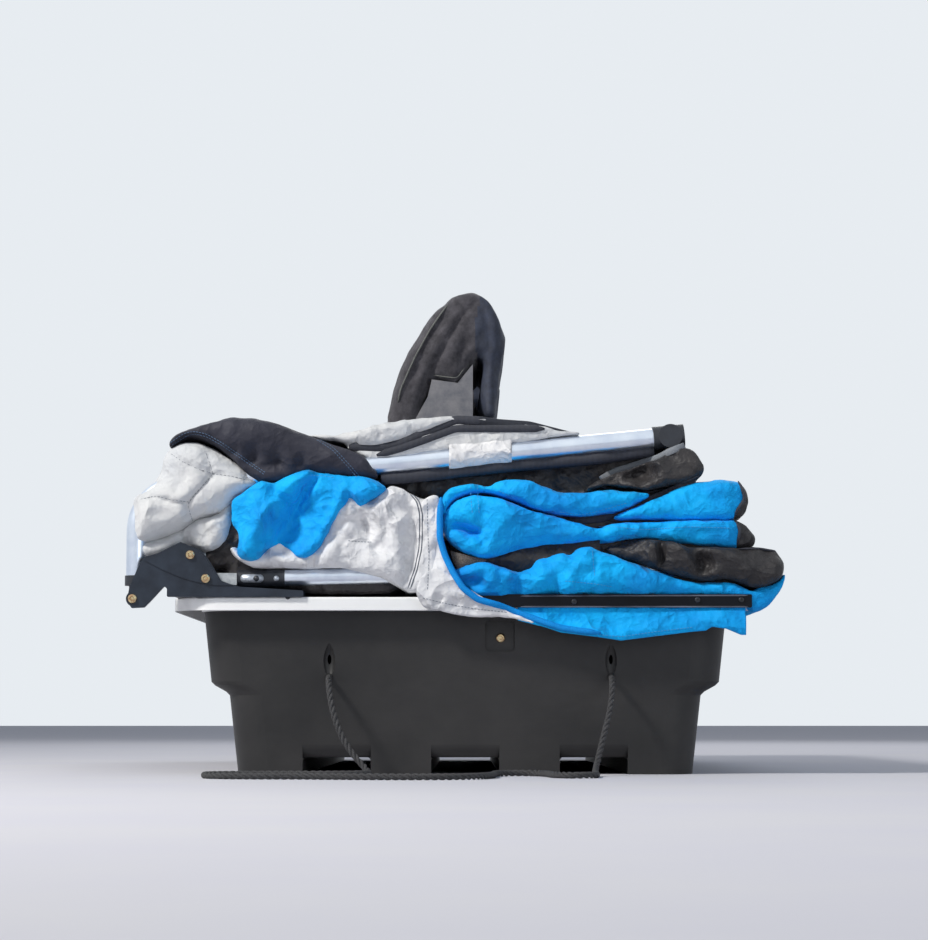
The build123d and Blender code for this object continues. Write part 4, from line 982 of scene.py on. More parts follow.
# Black fold at the right: a crumpled edge of the floor skirt that sticks out furthest. It is a
# coated black nylon, thinner and shinier than the blue.
dark_line = rounded([
    (222, 360), (248, 370), (280, 376), (312, 374), (360, 365), (408, 362), (440, 362), (472, 363),
    (496, 357), (508, 341), (512, 328), (504, 312), (480, 301), (464, 299), (440, 306), (416, 312),
    (384, 309), (360, 314), (336, 318), (304, 328), (280, 336), (248, 347)])
dark_folds = [
    (222, 360, -6), (248, 370, -8), (280, 376, -6), (304, 376, 2), (331, 378, 4), (360, 365, 2),
    (376, 358, -2), (395, 362, 3), (432, 362, 0), (472, 363, 0), (496, 357, 0), (508, 341, 0), (512, 328, 0),
    (500, 309, 0), (472, 299, 0), (456, 298, 0), (440, 306, 0), (416, 312, 0), (384, 309, 0), (360, 314, 0),
    (336, 318, 0), (304, 328, 0), (280, 336, -2), (248, 347, -6), (289, 357, 6), (300, 368, 10),
    (302, 344, 9), (313, 366, -6), (313, 341, -7), (324, 363, 9), (340, 362, 12), (355, 339, 12),
    (363, 322, 8), (331, 336, 6), (318, 328, 4), (369, 350, -6), (380, 341, -8), (376, 328, -8),
    (390, 331, -6), (396, 357, 9), (411, 339, 11), (398, 322, 7), (380, 314, 3), (432, 349, 8),
    (456, 350, 3), (480, 352, -3), (440, 357, -4), (464, 341, 7), (491, 334, 7), (488, 318, 6),
    (456, 320, 8), (432, 325, 8), (420, 318, 5), (496, 344, 3)]
dark_mesh = folded(
    "dark_fold_cloth", [(dark_line, -fold_reach, fold_reach)], end=fold_reach, edge=7,
    places=dark_folds, wrinkle=1.6, seed=21, fine=(32, 16, 34))
soft_layer("dark_fold_cloth", dark_mesh, dark_nylon, "black_cloth", 0.3, "dark_fold")

# Window cloth: the roof window's black cloth, folded round the right end of the top bow. A cord is
# sewn into its edge, and a strap lies across it.
window_line = rounded([
    (216, 472), (256, 488), (296, 501), (318, 510), (324, 523), (350, 525), (368, 517), (380, 501),
    (384, 488), (376, 475), (360, 469), (320, 462), (288, 456), (248, 462), (222, 462), (196, 456)])
window_folds = [
    (216, 472, -4), (256, 488, -6), (296, 501, -4), (318, 510, 0), (324, 523, 0), (350, 526, 0),
    (368, 518, 0), (380, 504, 0), (384, 488, 0), (376, 478, 0), (360, 469, 3), (320, 459, 5), (288, 454, 4),
    (248, 459, 4), (222, 462, 2), (196, 456, 0), (235, 470, -14), (264, 480, -18), (292, 491, -16),
    (280, 469, -14), (299, 475, -10), (248, 466, -4), (224, 467, -6), (310, 499, 6), (318, 482, 8),
    (312, 464, 8), (296, 462, 5), (267, 462, 3), (336, 494, 4), (360, 482, 5), (344, 475, 7), (331, 507, -2),
    (360, 504, 3), (372, 498, 4), (350, 517, 2)]
window_mesh = folded(
    "window_panel_cloth", [(window_line, -fold_reach, fold_reach)], end=fold_reach, edge=7,
    places=window_folds, wrinkle=1.3, seed=23, fine=(30, 14, 34))
soft_layer("window_panel_cloth", window_mesh, dark_nylon, "window_cloth", 0.3, "window_panel")

# Top quilt: the white lining that shows above the top bow, in two soft rolls with a zip between.
# It is wadded, and creased where it turns over the bow.
quilt_line = rounded([
    (-255, 544), (-232, 546), (-184, 550), (-152, 560), (-120, 566), (-88, 571), (-40, 576), (8, 574),
    (40, 571), (20, 566), (-16, 568), (-40, 560), (-72, 547), (-104, 536), (-136, 528), (-165, 526),
    (-192, 533), (-224, 538)])
under_line = rounded([
    (-191, 525), (-160, 520), (-133, 523), (-101, 531), (-69, 542), (-37, 555), (-15, 562), (24, 560),
    (56, 558), (104, 562), (152, 554), (188, 549), (152, 542), (88, 534), (24, 526), (-40, 520), (-104, 512),
    (-149, 506)])
quilt_mesh = stuffed(
    "near_top_quilt_cloth", [(quilt_line, -wall_reach, -bay_end), (under_line, -752, -bay_end)],
    end=wall_reach, cell=(0.004, 1.6, 2), swells=(2.4, (16, 8, 18), 24), wrinkles=(1.6, (34, 14, 36), 25),
    edge=12, creases=[
        ([(-184, 542), (-175, 536), (-181, 526)], -4, 4), ([(-92, 568), (-85, 555), (-79, 546)], -5, 4),
        ([(-143, 557), (-136, 546), (-140, 533)], -3, 4), ([(128, 552), (132, 546), (139, 541)], -3, 3)])
both_layers("top_quilt_cloth", quilt_mesh, white_lining, "white_quilt", 0.4, "top_quilt")

# Inner folds: the dark lining that shows in the gaps between the layers, set back from their ends.
# It fills the heap from behind, so that no gap shows through to the seats.
inner_bay_right = 206
inner_right = rounded([
    (8, 445), (216, 440), (376, 453), (428, 432), (428, 384), (448, 344), (440, 299), (376, 293), (216, 288),
    (24, 290), (-15, 320), (-24, 376), (-21, 432)])
inner_left = rounded([
    (-383, 421), (-264, 440), (-108, 432), (-85, 376), (-88, 299), (-264, 294), (-373, 299), (-383, 326),
    (-415, 331), (-420, 366), (-399, 378)])
inner_top = rounded([
    (-146, 490), (-24, 504), (152, 522), (296, 536), (331, 530), (350, 488), (360, 466), (280, 450),
    (152, 446), (24, 443), (-88, 446), (-143, 450)])
inner_mesh = stuffed(
    "inner_folds_cloth", [
        *well_lengths(inner_right, 742, inner_bay_right), (inner_left, -738, -560), (inner_left, 560, 738),
        *well_lengths(inner_top, 716, inner_bay_right)],
    end=742, cell=(0.007, 2.4, 3), swells=(5, (14, 9, 16), 30), wrinkles=(3, (34, 16, 36), 31))
soft_layer("inner_folds_cloth", inner_mesh, dark_nylon, "black_cloth", 0.4)

# Seat covers: black padded cloth. Each seat has a pad, and a hood over its back with a piped side.
# Both are blown up by their foam, with the hood's seams sunk and its edges raised.
seat_cover = mottled(
    "seat_cover", (36, 36, 41), rough=0.8, dark=(42, 41, 46), light=(86, 84, 90), cloud=(60, 5, 0.7),
    bumps=[(0.5, 0.004, 22, 4, 0.6), (0.6, 0.0007, 700, 3, 0.7)], high=0.75, shine=0.25, sheen=0.3)
seat_middle = -0.340
hood_line = rounded([
    (-134, 228), (-134, 300), (-132, 400), (-130, 500), (-127, 594), (-122, 628), (-110, 670), (-93, 713),
    (-76, 743), (-60, 767), (-43, 790), (-29, 800), (-12, 814), (8, 819), (23, 817), (42, 805), (54, 783),
    (62, 758), (60, 721), (52, 679), (45, 628), (42, 608), (35, 599), (29, 614), (34, 650), (37, 688),
    (30, 708), (14, 704), (8, 692), (-14, 665), (-36, 669), (-60, 672), (-66, 655), (-84, 600), (-90, 500),
    (-86, 330), (-79, 230)])
hood_mesh = stuffed(
    "near_back_cushion_cover", [(hood_line, -540, -140)], end=200, cell=(0.005, 1.4, 2),
    swells=(3, (9, 6, 9), 32), wrinkles=(1.4, (26, 16, 26), 33), edge=16, plump=0.006, creases=[
        ([(25, 802), (-1, 780), (-26, 738), (-43, 704), (-60, 670), (-87, 603)], -5, 4),
        ([(1, 746), (-6, 713), (-11, 665)], -3, 3), ([(25, 802), (38, 763), (42, 721), (35, 709)], -4, 4),
        ([(-31, 795), (-60, 750), (-85, 704), (-109, 648), (-115, 625)], 4, 3),
        ([(-17, 777), (-43, 738), (-68, 687), (-90, 637)], 4, 7), ([(21, 763), (15, 721), (8, 702)], 4, 8)],
    reach=0.03, middle=seat_middle)
both_layers("back_cushion_cover", hood_mesh, seat_cover, "seat_cloth", 0.6, "back_cushion", -2 * seat_middle)
pad_line = rounded([
    (-383, 262), (-380, 236), (-362, 227), (-260, 226), (-160, 227), (-142, 236), (-138, 262), (-144, 290),
    (-170, 302), (-260, 305), (-350, 302), (-376, 290)])
pad_mesh = stuffed(
    "near_seat_cushion_cover", [(pad_line, -553, -127)], end=213, cell=(0.005, 1.4, 3),
    swells=(3, (7, 6, 7), 34), wrinkles=(1.4, (26, 16, 26), 35), edge=24, plump=0.010, middle=seat_middle)
both_layers("seat_cushion_cover", pad_mesh, seat_cover, "seat_cloth", 0.7, "seat_cushion", -2 * seat_middle)

# Seat shells and stands: grey moulded plastic, mottled from wear. The shell carries the pad and the
# back, and stands on the rails.
shell_plastic = mottled(
    "shell_plastic", (112, 112, 117), rough=0.5, dark=(92, 94, 102), light=(128, 127, 130),
    cloud=(45, 5, 0.7), bumps=[(0.3, 0.0003, 480, 2)])
wear(shell_plastic, "near_seat_shell", "far_seat_shell", "near_seat_stand", "far_seat_stand")

# Skirts: the cloth's lower edge, clamped under the strips at both ends, with its hem rolled up. Over
# the hinge strip a narrow grey skirt stands up. Each is a thin sheet with waves along it.
sled_ends = (("near", -1), ("far", 1))
skirt_left, skirt_right, skirt_high = 84, 448, 268
skirt_columns, skirt_rows, skirt_thick = 150, 16, 0.0016
strip_back = 763.4
hem_roll = 8.0
skirt_bottom = np.array([
    (84, 245), (128, 234), (152, 226), (216, 218), (248, 213), (296, 219), (360, 227), (384, 229),
    (393, 235), (416, 232), (440, 222), (449, 222)], float)
hem_top = np.array([
    (84, 248), (128, 242), (152, 240), (184, 235), (216, 229), (248, 227), (280, 235), (312, 246),
    (344, 251), (376, 258), (404, 262), (449, 264)], float)


def doubled_faces(columns, rows):
    """The faces of a sheet with thickness: a grid, its double, and the edge that joins them."""
    per = columns * rows
    faces = []
    for i in range(columns - 1):
        for row in range(rows - 1):
            a = i * rows + row
            faces.append((a, a + 1, a + rows + 1, a + rows))
            faces.append((per + a, per + a + rows, per + a + rows + 1, per + a + 1))
    edge = [i * rows for i in range(columns)] + [(columns - 1) * rows + r for r in range(1, rows)]
    edge += [i * rows + rows - 1 for i in reversed(range(columns - 1))] + list(reversed(range(1, rows - 1)))
    return faces + [(a, b, per + b, per + a) for a, b in zip(edge, edge[1:] + edge[:1])]


def skirt_sheet(name, side):
    """A clamped sheet with waves along it, and its hem rolled outwards."""
    verts = []
    for layer in (0, 1):
        for x in np.linspace(skirt_left, skirt_right, skirt_columns):
            low = np.interp(x, skirt_bottom[:, 0], skirt_bottom[:, 1])
            high = np.interp(x, hem_top[:, 0], hem_top[:, 1])
            for row in range(skirt_rows):
                t = row / (skirt_rows - 1)
                z = skirt_high + (low - skirt_high) * t
                wave = 0.8 * math.sin(x / 17 + 2 * t) + 1.1 * math.sin(x / 41 + 1.3)
                hem = math.exp(-((z - (low + high) / 2) / (0.55 * (high - low) + 3)) ** 2)
                out = strip_back + t * (1.6 + wave) + hem_roll * hem * min(1, 3 * t)
                x_place, y_place, z_place = spot(x, side * out, z)
                verts.append((x_place, y_place - side * layer * skirt_thick, z_place))
    return piece_from(name, verts, doubled_faces(skirt_columns, skirt_rows), blue_nylon)


for end_name, side in sled_ends:
    skirt = skirt_sheet(end_name + "_skirt_cloth", side)
    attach(skirt, "root")
    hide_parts(end_name + "_skirt")

hinge_columns, hinge_rows, hinge_thick = 260, 14, 1.6
hinge_half, hinge_low, hinge_tall = 665, 290, 62
hinge_verts = []
for layer in (0, 1):
    for i in range(hinge_columns):
        y = -hinge_half + 2 * hinge_half * i / (hinge_columns - 1)
        sway = 2.2 * math.sin(y / 47) + 1.4 * math.sin(y / 19 + 2)
        for row in range(hinge_rows):
            t = row / (hinge_rows - 1)
            x = -457 + 5 * math.sin(2.4 * t) + sway * t * 0.5 - layer * hinge_thick
            hinge_verts.append(spot(x, y, hinge_low + hinge_tall * t))
hinge_faces = doubled_faces(hinge_columns, hinge_rows)
hinge_skirt = piece_from("hinge_skirt_cloth", hinge_verts, hinge_faces, grey_nylon)
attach(hinge_skirt, "root")
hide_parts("hinge_skirt")

# Black corners and backs: the right ends of two folds are cut from another cloth and sewn on, and
# the back of each seat hood is painted blue-grey as painted shade with a painted sky reflection, so part of
# the skin takes a second finish.
# Painted shade and painted sky reflection: the back of each hood takes a blue-grey in place of the cover's
# black.
hood_back_shade = mottled(
    "hood_back_shade", (46, 52, 68), rough=0.7, dark=(34, 38, 50), light=(58, 65, 84), cloud=(70, 5, 0.7),
    bumps=[(0.5, 0.0006, 800, 3, 0.7)], high=0.75)
hood_shade_edge = [(21, 586), (21, 709), (15, 721), (15, 755), (25, 797), (28, 831)]
for piece_name, material, edge in (
        ("upper_fold_right_cloth", dark_nylon, [(430, 392), (430, 413), (449, 440), (441, 461), (436, 488)]),
        ("middle_fold_cloth", dark_nylon, [(433, 350), (435, 365), (440, 390), (432, 405), (432, 424)]),
        ("near_back_cushion_cover", hood_back_shade, hood_shade_edge),
        ("far_back_cushion_cover", hood_back_shade, hood_shade_edge)):
    across, up = zip(*edge)
    covered = bpy.data.objects[piece_name].data
    covered.materials.append(material)
    for face in covered.polygons:
        x = (face.center[0] - sled_middle_x) * 1000
        z = face.center[2] * 1000
        if up[0] < z < up[-1] and x > np.interp(z, up, across):
            face.material_index = 1

# Edge binding: a folded tape of bright blue nylon sewn round the grey band's free edge. It lies on
# the cloth, so its line is found by looking along the sled at the layers behind it.
binding_radius = 5.2
band_inset = 6.0
laid_step = 4.0
cord_sides = 10
looked_from = 1300


def faces_of(*names):
    """Everything that the named pieces show, ready to be met by straight lines."""
    verts, faces = [], []
    for name in names:
        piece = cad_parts.get(name) or bpy.data.objects[name]
        base = len(verts)
        verts += [v.co.copy() for v in piece.data.vertices]
        faces += [tuple(base + k for k in face.vertices) for face in piece.data.polygons]
    return BVHTree.FromPolygons(verts, faces)


def met(skins, x, z, side):
    """How far along the sled, in millimetres, the outermost skin lies at one place, or nothing."""
    place, _, _, _ = skins.ray_cast(Vector(spot(x, side * looked_from, z)), Vector((0, -side, 0)))
    return place.y * 1000 if place else math.nan


def laid_on(skins, corners, side, lift, ease):
    """A line given by X and Z, laid on the skins at one end of the sled and eased over hollows."""
    corners = np.array(corners, float)
    flat = spaced_out(corners, max(3, int(walked(corners)[-1] / laid_step)))
    for _ in range(2):
        flat[1:-1] = 0.25 * flat[:-2] + 0.5 * flat[1:-1] + 0.25 * flat[2:]
    out = np.array([met(skins, x, z, side) for x, z in flat]) * side
    found = ~np.isnan(out)
    out = np.interp(np.arange(len(flat)), np.nonzero(found)[0], out[found])
    for _ in range(ease):
        out[1:-1] = np.maximum(out[1:-1], (out[:-2] + out[2:]) / 2)
    return np.stack([flat[:, 0], side * (out + lift), flat[:, 1]], axis=1)


def swept(line, profile, side, narrow=0.0):
    """A profile, across and outwards, carried along a line; narrow draws both its ends in."""
    steps = np.gradient(line, axis=0)
    steps[:, 1] = 0
    steps /= np.maximum(np.linalg.norm(steps, axis=1), 1e-9)[:, None]
    across = np.stack([-steps[:, 2], np.zeros(len(line)), steps[:, 0]], axis=1)
    verts, faces, n = [], [], len(profile)
    for k, place in enumerate(line):
        share = min(1.0, 0.3 + min(k, len(line) - 1 - k) / narrow) if narrow else 1.0
        for over, out in profile:
            verts.append(spot(*(place + across[k] * over * share + np.array([0, side * out * share, 0]))))
    for k in range(len(line) - 1):
        for i in range(n):
            a, b = k * n + i, k * n + (i + 1) % n
            faces.append((a, b, b + n, a + n))
    faces.append(tuple(reversed(range(n))))
    faces.append(tuple((len(line) - 1) * n + i for i in range(n)))
    return verts, faces


def round_cord(radius):
    """A cord's round section, sunk a little into the cloth."""
    turns = [2 * math.pi * k / cord_sides for k in range(cord_sides)]
    return [(radius * math.cos(a), radius * (math.sin(a) + 0.6)) for a in turns]


def at_both_ends(name, material, make):
    """Small parts of one finish, made once for each end of the sled."""
    made = []
    for end_name, side in sled_ends:
        piece = piece_from(end_name + "_" + name, *together(make(side)), material)
        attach(piece, "root")
        made.append(piece)
    return made


tape_blue = mottled(
    "tape_blue", (0, 138, 226), rough=0.7, dark=(0, 112, 200), light=(10, 160, 238),
    cloud=(500, 3, 0.6, (1, 1, 3)), bumps=[(0.5, 0.0006)], shine=0.25)
paired_layers = ["side_panel_cloth", "door_drape_cloth", "skirt_cloth", "top_quilt_cloth"]
end_skins = faces_of(
    *["near_" + n for n in paired_layers], *["far_" + n for n in paired_layers], "middle_fold_cloth",
    "lower_fold_cloth", "upper_fold_cloth", "upper_fold_right_cloth", "dark_fold_cloth", "window_panel_cloth",
    "roof_panel_cloth", "quilt_bulge_cloth", "quilt_roll_cloth", "inner_folds_cloth", "sled_tub", "sled_rim")
binding_route = [
    (-39, 442), (-40, 408), (-39, 376), (-31, 350), (-16, 320), (0, 296), (24, 278), (56, 262), (88, 250),
    (128, 235), (152, 227), (184, 222), (216, 219)]


def bound_edge(side):
    """The line of the band's edge, as far out as the band is just inside it."""
    inside = np.array(binding_route, float) - (band_inset, 0)
    inside[-6:] += (band_inset, band_inset)
    line = laid_on(end_skins, inside, side, lift=0.2, ease=30)
    line[:, 0] += band_inset * np.clip(1 - np.arange(len(line)) / len(line) * 1.6, 0, 1)
    return line


at_both_ends("edge_binding", tape_blue, lambda side: [
    swept(bound_edge(side), round_cord(binding_radius), side, narrow=6)])

# Black tapes: one is sewn along the upper fold, and two zips lie on the top quilt. Thin cords edge
# the window, the black fold and the two black tips. Under the top tube hangs the roof's hem, a
# ribbed black sleeve that closes the gap there.


def ribbed(name, colour, rough, dark, light, scale, waver, direction, depth, strength):
    """Woven tape: even ribs across it, pale on top and dark between."""
    material = finish_material(name, colour, rough)
    tree = material.node_tree
    ribs = add(tree, "ShaderNodeTexWave", {"Scale": scale, "Distortion": waver}, bands_direction=direction)
    join(tree, add(tree, "ShaderNodeTexCoord"), "Object", ribs, "Vector")
    tone_between(tree, ribs, dark, light, 0.2, 0.9)
    bump_chain(tree, [(ribs, strength, depth)])
    return material


def tape(width, thick):
    """A flat tape's section, with rounded edges, from a little under the skin."""
    half = width / 2
    return [(-half, -1), (half, -1), (half + 0.5, thick * 0.5), (half - 0.5, thick), (-half + 0.5, thick),
            (-half - 0.5, thick * 0.5)]


tape_black = ribbed(
    "tape_black", (34, 35, 44), 0.65, dark=(20, 21, 28), light=(60, 64, 78), scale=160.0, waver=0.3,
    direction="X", depth=0.0010, strength=0.6)
fold_tape = [(379, 470), (344, 459), (304, 443), (280, 434), (256, 422), (216, 410), (171, 406)]
window_edge = [(216, 461), (256, 458), (292, 453), (324, 459), (360, 470), (376, 478)]
zip_upper = [
    (-192, 526), (-136, 525), (-104, 531), (-72, 546), (-40, 558), (-16, 570), (24, 568), (56, 566),
    (104, 566), (152, 557), (188, 550)]
zip_lower = [(-143, 512), (-104, 523), (-72, 534), (-40, 546), (-16, 555), (40, 555), (128, 555)]
dark_rim = [(436, 360), (472, 360), (504, 355), (512, 334)]
upper_tip = [(432, 410), (433, 418), (448, 440), (441, 461), (438, 469)]
lower_tip = [(435, 365), (440, 390), (433, 403)]
hem_route = np.array([(-136, 475), (-104, 477), (-24, 486), (88, 498), (216, 509), (305, 522)], float)
hem_section = [(-9, -34), (8, -34), (9, -4), (5, 0), (-6, 0), (-10, -5)]
hem_middle = 747


def hung_hem(side):
    """The hem's line, straight under the tube's own depth."""
    marks = np.linspace(0, walked(hem_route)[-1], 60)
    line = spaced_out(hem_route, 60)
    wave = 1.5 * np.sin(marks / 23) + 1.0 * np.sin(marks / 9.0)
    return np.stack([line[:, 0], side * (hem_middle + wave), line[:, 1]], axis=1)


trims = [
    (fold_tape, 0.2, 8, tape(12, 1.8), 5), (window_edge, 0.2, 8, round_cord(2.0), 4),
    (zip_upper, 0.2, 6, tape(13, 2.6), 5), (zip_lower, 0.2, 6, tape(11, 2.6), 5),
    (dark_rim, 0.2, 6, round_cord(1.8), 4), (upper_tip, 0, 8, round_cord(2.6), 3),
    (lower_tip, 0, 8, round_cord(2.6), 3)]
at_both_ends("black_tapes", tape_black, lambda side: [
    swept(laid_on(end_skins, route, side, lift, ease), section, side, narrow)
    for route, lift, ease, section, narrow in trims] + [swept(hung_hem(side), hem_section, side)])

# Grey tab and strap: a cloth tab is sewn round the top tube to hold the roof on it, and a webbing
# strap with a sealed pale tip comes round the elbow and lies across the window's cloth.
tab_left, tab_right = -26, 75
tab_gap = 0.6
tab_thick = 1.5
tab_rise = 9.0
tab_columns, tab_sides = 30, 48
arm_depth = 740


def tube_at(skins, x, side):
    """Where a tube's middle lies, and its radius, at one place across the sled."""
    high, _, _, _ = skins.ray_cast(Vector(spot(x, side * arm_depth, 1000)), Vector((0, 0, -1)))
    low, _, _, _ = skins.ray_cast(Vector(spot(x, side * arm_depth, 0)), Vector((0, 0, 1)))
    radius = (high.z - low.z) * 500
    return side * (abs(met(skins, x, (high.z + low.z) * 500, side)) - radius), (high.z + low.z) * 500, radius


def wrapped_tab(side):
    """A closed loop of cloth round the tube, standing up where it is sewn to the roof."""
    arm = faces_of("near_top_arm" if side < 0 else "far_top_arm")
    verts, faces = [], []
    for layer in (0, 1):
        for i in range(tab_columns):
            x = tab_left + (tab_right - tab_left) * i / (tab_columns - 1)
            y_middle, z_middle, radius = tube_at(arm, x, side)
            for k in range(tab_sides):
                turn = 2 * math.pi * k / tab_sides
                wave = 0.7 * math.sin(3 * turn + x / 9) + 0.6 * math.sin(5 * turn - x / 14)
                rise = tab_rise * max(0, math.sin(turn)) ** 3
                r = radius + tab_gap + layer * (tab_thick + max(0.0, wave)) + rise
                verts.append(spot(x, y_middle + side * r * math.cos(turn), z_middle + r * math.sin(turn)))
    per = tab_columns * tab_sides
    for i in range(tab_columns - 1):
        for k in range(tab_sides):
            a, b = i * tab_sides + k, i * tab_sides + (k + 1) % tab_sides
            faces.append((a, b, b + tab_sides, a + tab_sides))
            faces.append((per + a, per + a + tab_sides, per + b + tab_sides, per + b))
    for i in (0, tab_columns - 1):
        for k in range(tab_sides):
            a, b = i * tab_sides + k, i * tab_sides + (k + 1) % tab_sides
            faces.append((a, per + a, per + b, b))
    return verts, faces


for tab, arm_name in zip(at_both_ends("tube_tab", grey_nylon, lambda side: [wrapped_tab(side)]),
                         ("near_top_arm", "far_top_arm")):
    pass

strap_web = ribbed(
    "strap_web", (138, 144, 150), 0.7, dark=(108, 114, 122), light=(160, 165, 170), scale=240.0, waver=0.2,
    direction="Z", depth=0.0006, strength=0.5)
strap_route = [
    (353, 526), (331, 517), (312, 508), (292, 504), (275, 499), (260, 494), (246, 490), (232, 483),
    (220, 475)]
strap_tip = 5
at_both_ends("window_strap", strap_web, lambda side: [
    swept(laid_on(end_skins, strap_route, side, lift=1.0, ease=40), tape(width=10, thick=2.2), side)])
at_both_ends("window_strap_tip", white_lining, lambda side: [
    swept(laid_on(end_skins, strap_route, side, lift=1.6, ease=40)[-strap_tip:],
          tape(width=10.6, thick=2.4), side)])

# Mesh patch: a scrap of brown-grey mesh that shows between the middle and the lower fold, and the
# black lining beside it that closes the gap there.


def slab(outline, inner, outer):
    """A flat outline given by X and Z, filled from one place along the sled to another."""
    n = len(outline)
    verts = [spot(x, y, z) for y in (inner, outer) for x, z in outline]
    faces = [(k, (k + 1) % n, n + (k + 1) % n, n + k) for k in range(n)]
    return verts, faces + [tuple(range(n)), tuple(reversed(range(n, 2 * n)))]


mesh_patch = mottled(
    "mesh_patch", (88, 82, 76), rough=0.85, dark=(60, 56, 52), light=(112, 104, 96), cloud=(700, 1, 0.5),
    bumps=[(0.7, 0.0008)], low=0.4, high=0.6)
patch_outline = [(-24, 357), (1, 350), (35, 342), (24, 334), (8, 325), (-12, 328), (-20, 341)]
gap_outline = [
    (30, 354), (72, 362), (152, 371), (216, 374), (216, 350), (120, 320), (94, 317), (56, 322), (30, 330)]
patch_back, patch_front, lining_front = 734, 766, 761
at_both_ends("mesh_patch", mesh_patch, lambda side: [
    slab(patch_outline, side * patch_back, side * patch_front)])
at_both_ends("gap_lining", dark_nylon, lambda side: [
    slab(gap_outline, side * patch_back, side * lining_front)])

# Seat piping: a thin welt sewn into the front edge and the hem of each hood. It is a cord covered
# in a paler cloth than the hood's.
seat_skins = faces_of("near_back_cushion_cover", "far_back_cushion_cover")
welt_route = [
    (-29, 795), (-43, 775), (-60, 750), (-73, 726), (-85, 704), (-98, 675), (-110, 648), (-115, 625)]
hem_welt = [(-56, 674), (-34, 670), (-14, 667), (-1, 686)]
seat_welt = mottled(
    "seat_welt", (92, 94, 92), rough=0.7, dark=(70, 72, 72), light=(112, 114, 110), cloud=(600, 2),
    bumps=[(0.4, 0.0004)])
at_both_ends("seat_welts", seat_welt, lambda side: [
    swept(laid_on(seat_skins, route, side, lift=0.1, ease=6), round_cord(radius), side, narrow=3)
    for route, radius in ((welt_route, 1.5), (hem_welt, 1.0))])

# Piped seams: two thin dark welts run side by side down the grey panel, where its cloths are sewn
# together.
welt_dark = mottled(
    "welt_dark", (84, 92, 108), rough=0.7, dark=(62, 70, 86), light=(108, 114, 126), cloud=(600, 2),
    bumps=[(0.4, 0.0004)])
seam_apart = 4.4
seam_route = np.array([
    (-88, 450), (-76, 437), (-71, 416), (-71, 384), (-72, 360), (-79, 328), (-90, 296)], float)
at_both_ends("panel_seam", welt_dark, lambda side: [
    swept(laid_on(end_skins, seam_route + (shift, 0), side, lift=0.1, ease=3),
          round_cord(0.9), side, narrow=3)
    for shift in (-seam_apart / 2, seam_apart / 2)])

# Stitches: rows of thread on the hems, the quilting and the roof's edge, one short stitch after
# another. A node tree sets them along the laid lines.
stitch_share = 0.66
thread_radius = 0.00055


def repeat_tree(name, inputs):
    """A node tree that sets a unit on each point, turned outwards, and gives it a material. Its
    inputs are named, and the last one is that material."""
    tree = bpy.data.node_groups.new(name, "GeometryNodeTree")
    sockets = {}
    for label, kind in inputs.items():
        sockets[label] = tree.interface.new_socket(label, in_out="INPUT", socket_type="NodeSocket" + kind)
    tree.interface.new_socket("Geometry", in_out="OUTPUT", socket_type="NodeSocketGeometry")
    given, units = add(tree, "NodeGroupInput"), add(tree, "GeometryNodeInstanceOnPoints")
    turn = add(tree, "FunctionNodeAlignRotationToVector", axis="Z")
    real, finish = add(tree, "GeometryNodeRealizeInstances"), add(tree, "GeometryNodeSetMaterial")
    join(tree, turn, "Rotation", units, "Rotation")
    join(tree, units, "Instances", real, "Geometry")
    join(tree, real, "Geometry", finish, "Geometry")
    join(tree, given, label, finish, "Material")
    join(tree, finish, "Geometry", add(tree, "NodeGroupOutput"), "Geometry")
    return tree, sockets, given, units, turn


def grown(name, base, tree, sockets, values):
    """A node tree's result on a base mesh, kept as a plain mesh that rides on the sled."""
    seed = shown(name + "_seed", base)
    nodes = seed.modifiers.new("grow", "NODES")
    nodes.node_group = tree
    for socket, value in values.items():
        nodes[sockets[socket].identifier] = value
    made = plain_mesh(seed)
    bpy.data.objects.remove(seed)
    made.name = name
    piece = shown(name, made)
    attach(piece, "root")


def beside(corners, shift):
    """A line moved sideways by a distance in millimetres."""
    line = np.array(corners, float)
    steps = np.gradient(line, axis=0)
    steps /= np.linalg.norm(steps, axis=1)[:, None]
    return line + shift * np.stack([-steps[:, 1], steps[:, 0]], axis=1)


sewing, sewing_sockets, given, stitches, turn = repeat_tree("stitch_rows", {
    "Geometry": "Geometry", "Stitch Spacing": "Float", "Stitch Length": "Float", "Thread Radius": "Float",
    "Thread": "Material"})
curve = add(sewing, "GeometryNodeMeshToCurve")
spaced = add(sewing, "GeometryNodeResampleCurve", mode="LENGTH")
stitch = add(sewing, "GeometryNodeMeshCylinder", {"Vertices": 6})
for link in (
        (given, "Geometry", curve, "Mesh"), (curve, "Curve", spaced, "Curve"),
        (given, "Stitch Spacing", spaced, "Length"), (given, "Stitch Length", stitch, "Depth"),
        (given, "Thread Radius", stitch, "Radius"), (spaced, "Curve", stitches, "Points"),
        (stitch, "Mesh", stitches, "Instance"),
        (add(sewing, "GeometryNodeInputTangent"), "Tangent", turn, "Vector")):
    join(sewing, *link)


def sewn_rows(name, rows, colour, spacing=0.0052):
    """Stitch rows laid on the skins at both ends."""
    verts, edges = [], []
    for side in (-1, 1):
        for row in rows:
            line = laid_on(end_skins, row, side, lift=0.15, ease=1)
            base = len(verts)
            verts += [spot(*place) for place in line]
            edges += [(base + k, base + k + 1) for k in range(len(line) - 1)]
    base_mesh = bpy.data.meshes.new(name)
    base_mesh.from_pydata(verts, edges, [])
    thread = mottled(
        name + "_thread", colour, rough=0.7, dark=[0.75 * c for c in colour], light=colour, cloud=(1500, 2),
        bumps=[(0.3, 0.0002)])
    grown(name, base_mesh, sewing, sewing_sockets, {
        "Stitch Spacing": spacing, "Stitch Length": spacing * stitch_share, "Thread Radius": thread_radius,
        "Thread": thread})


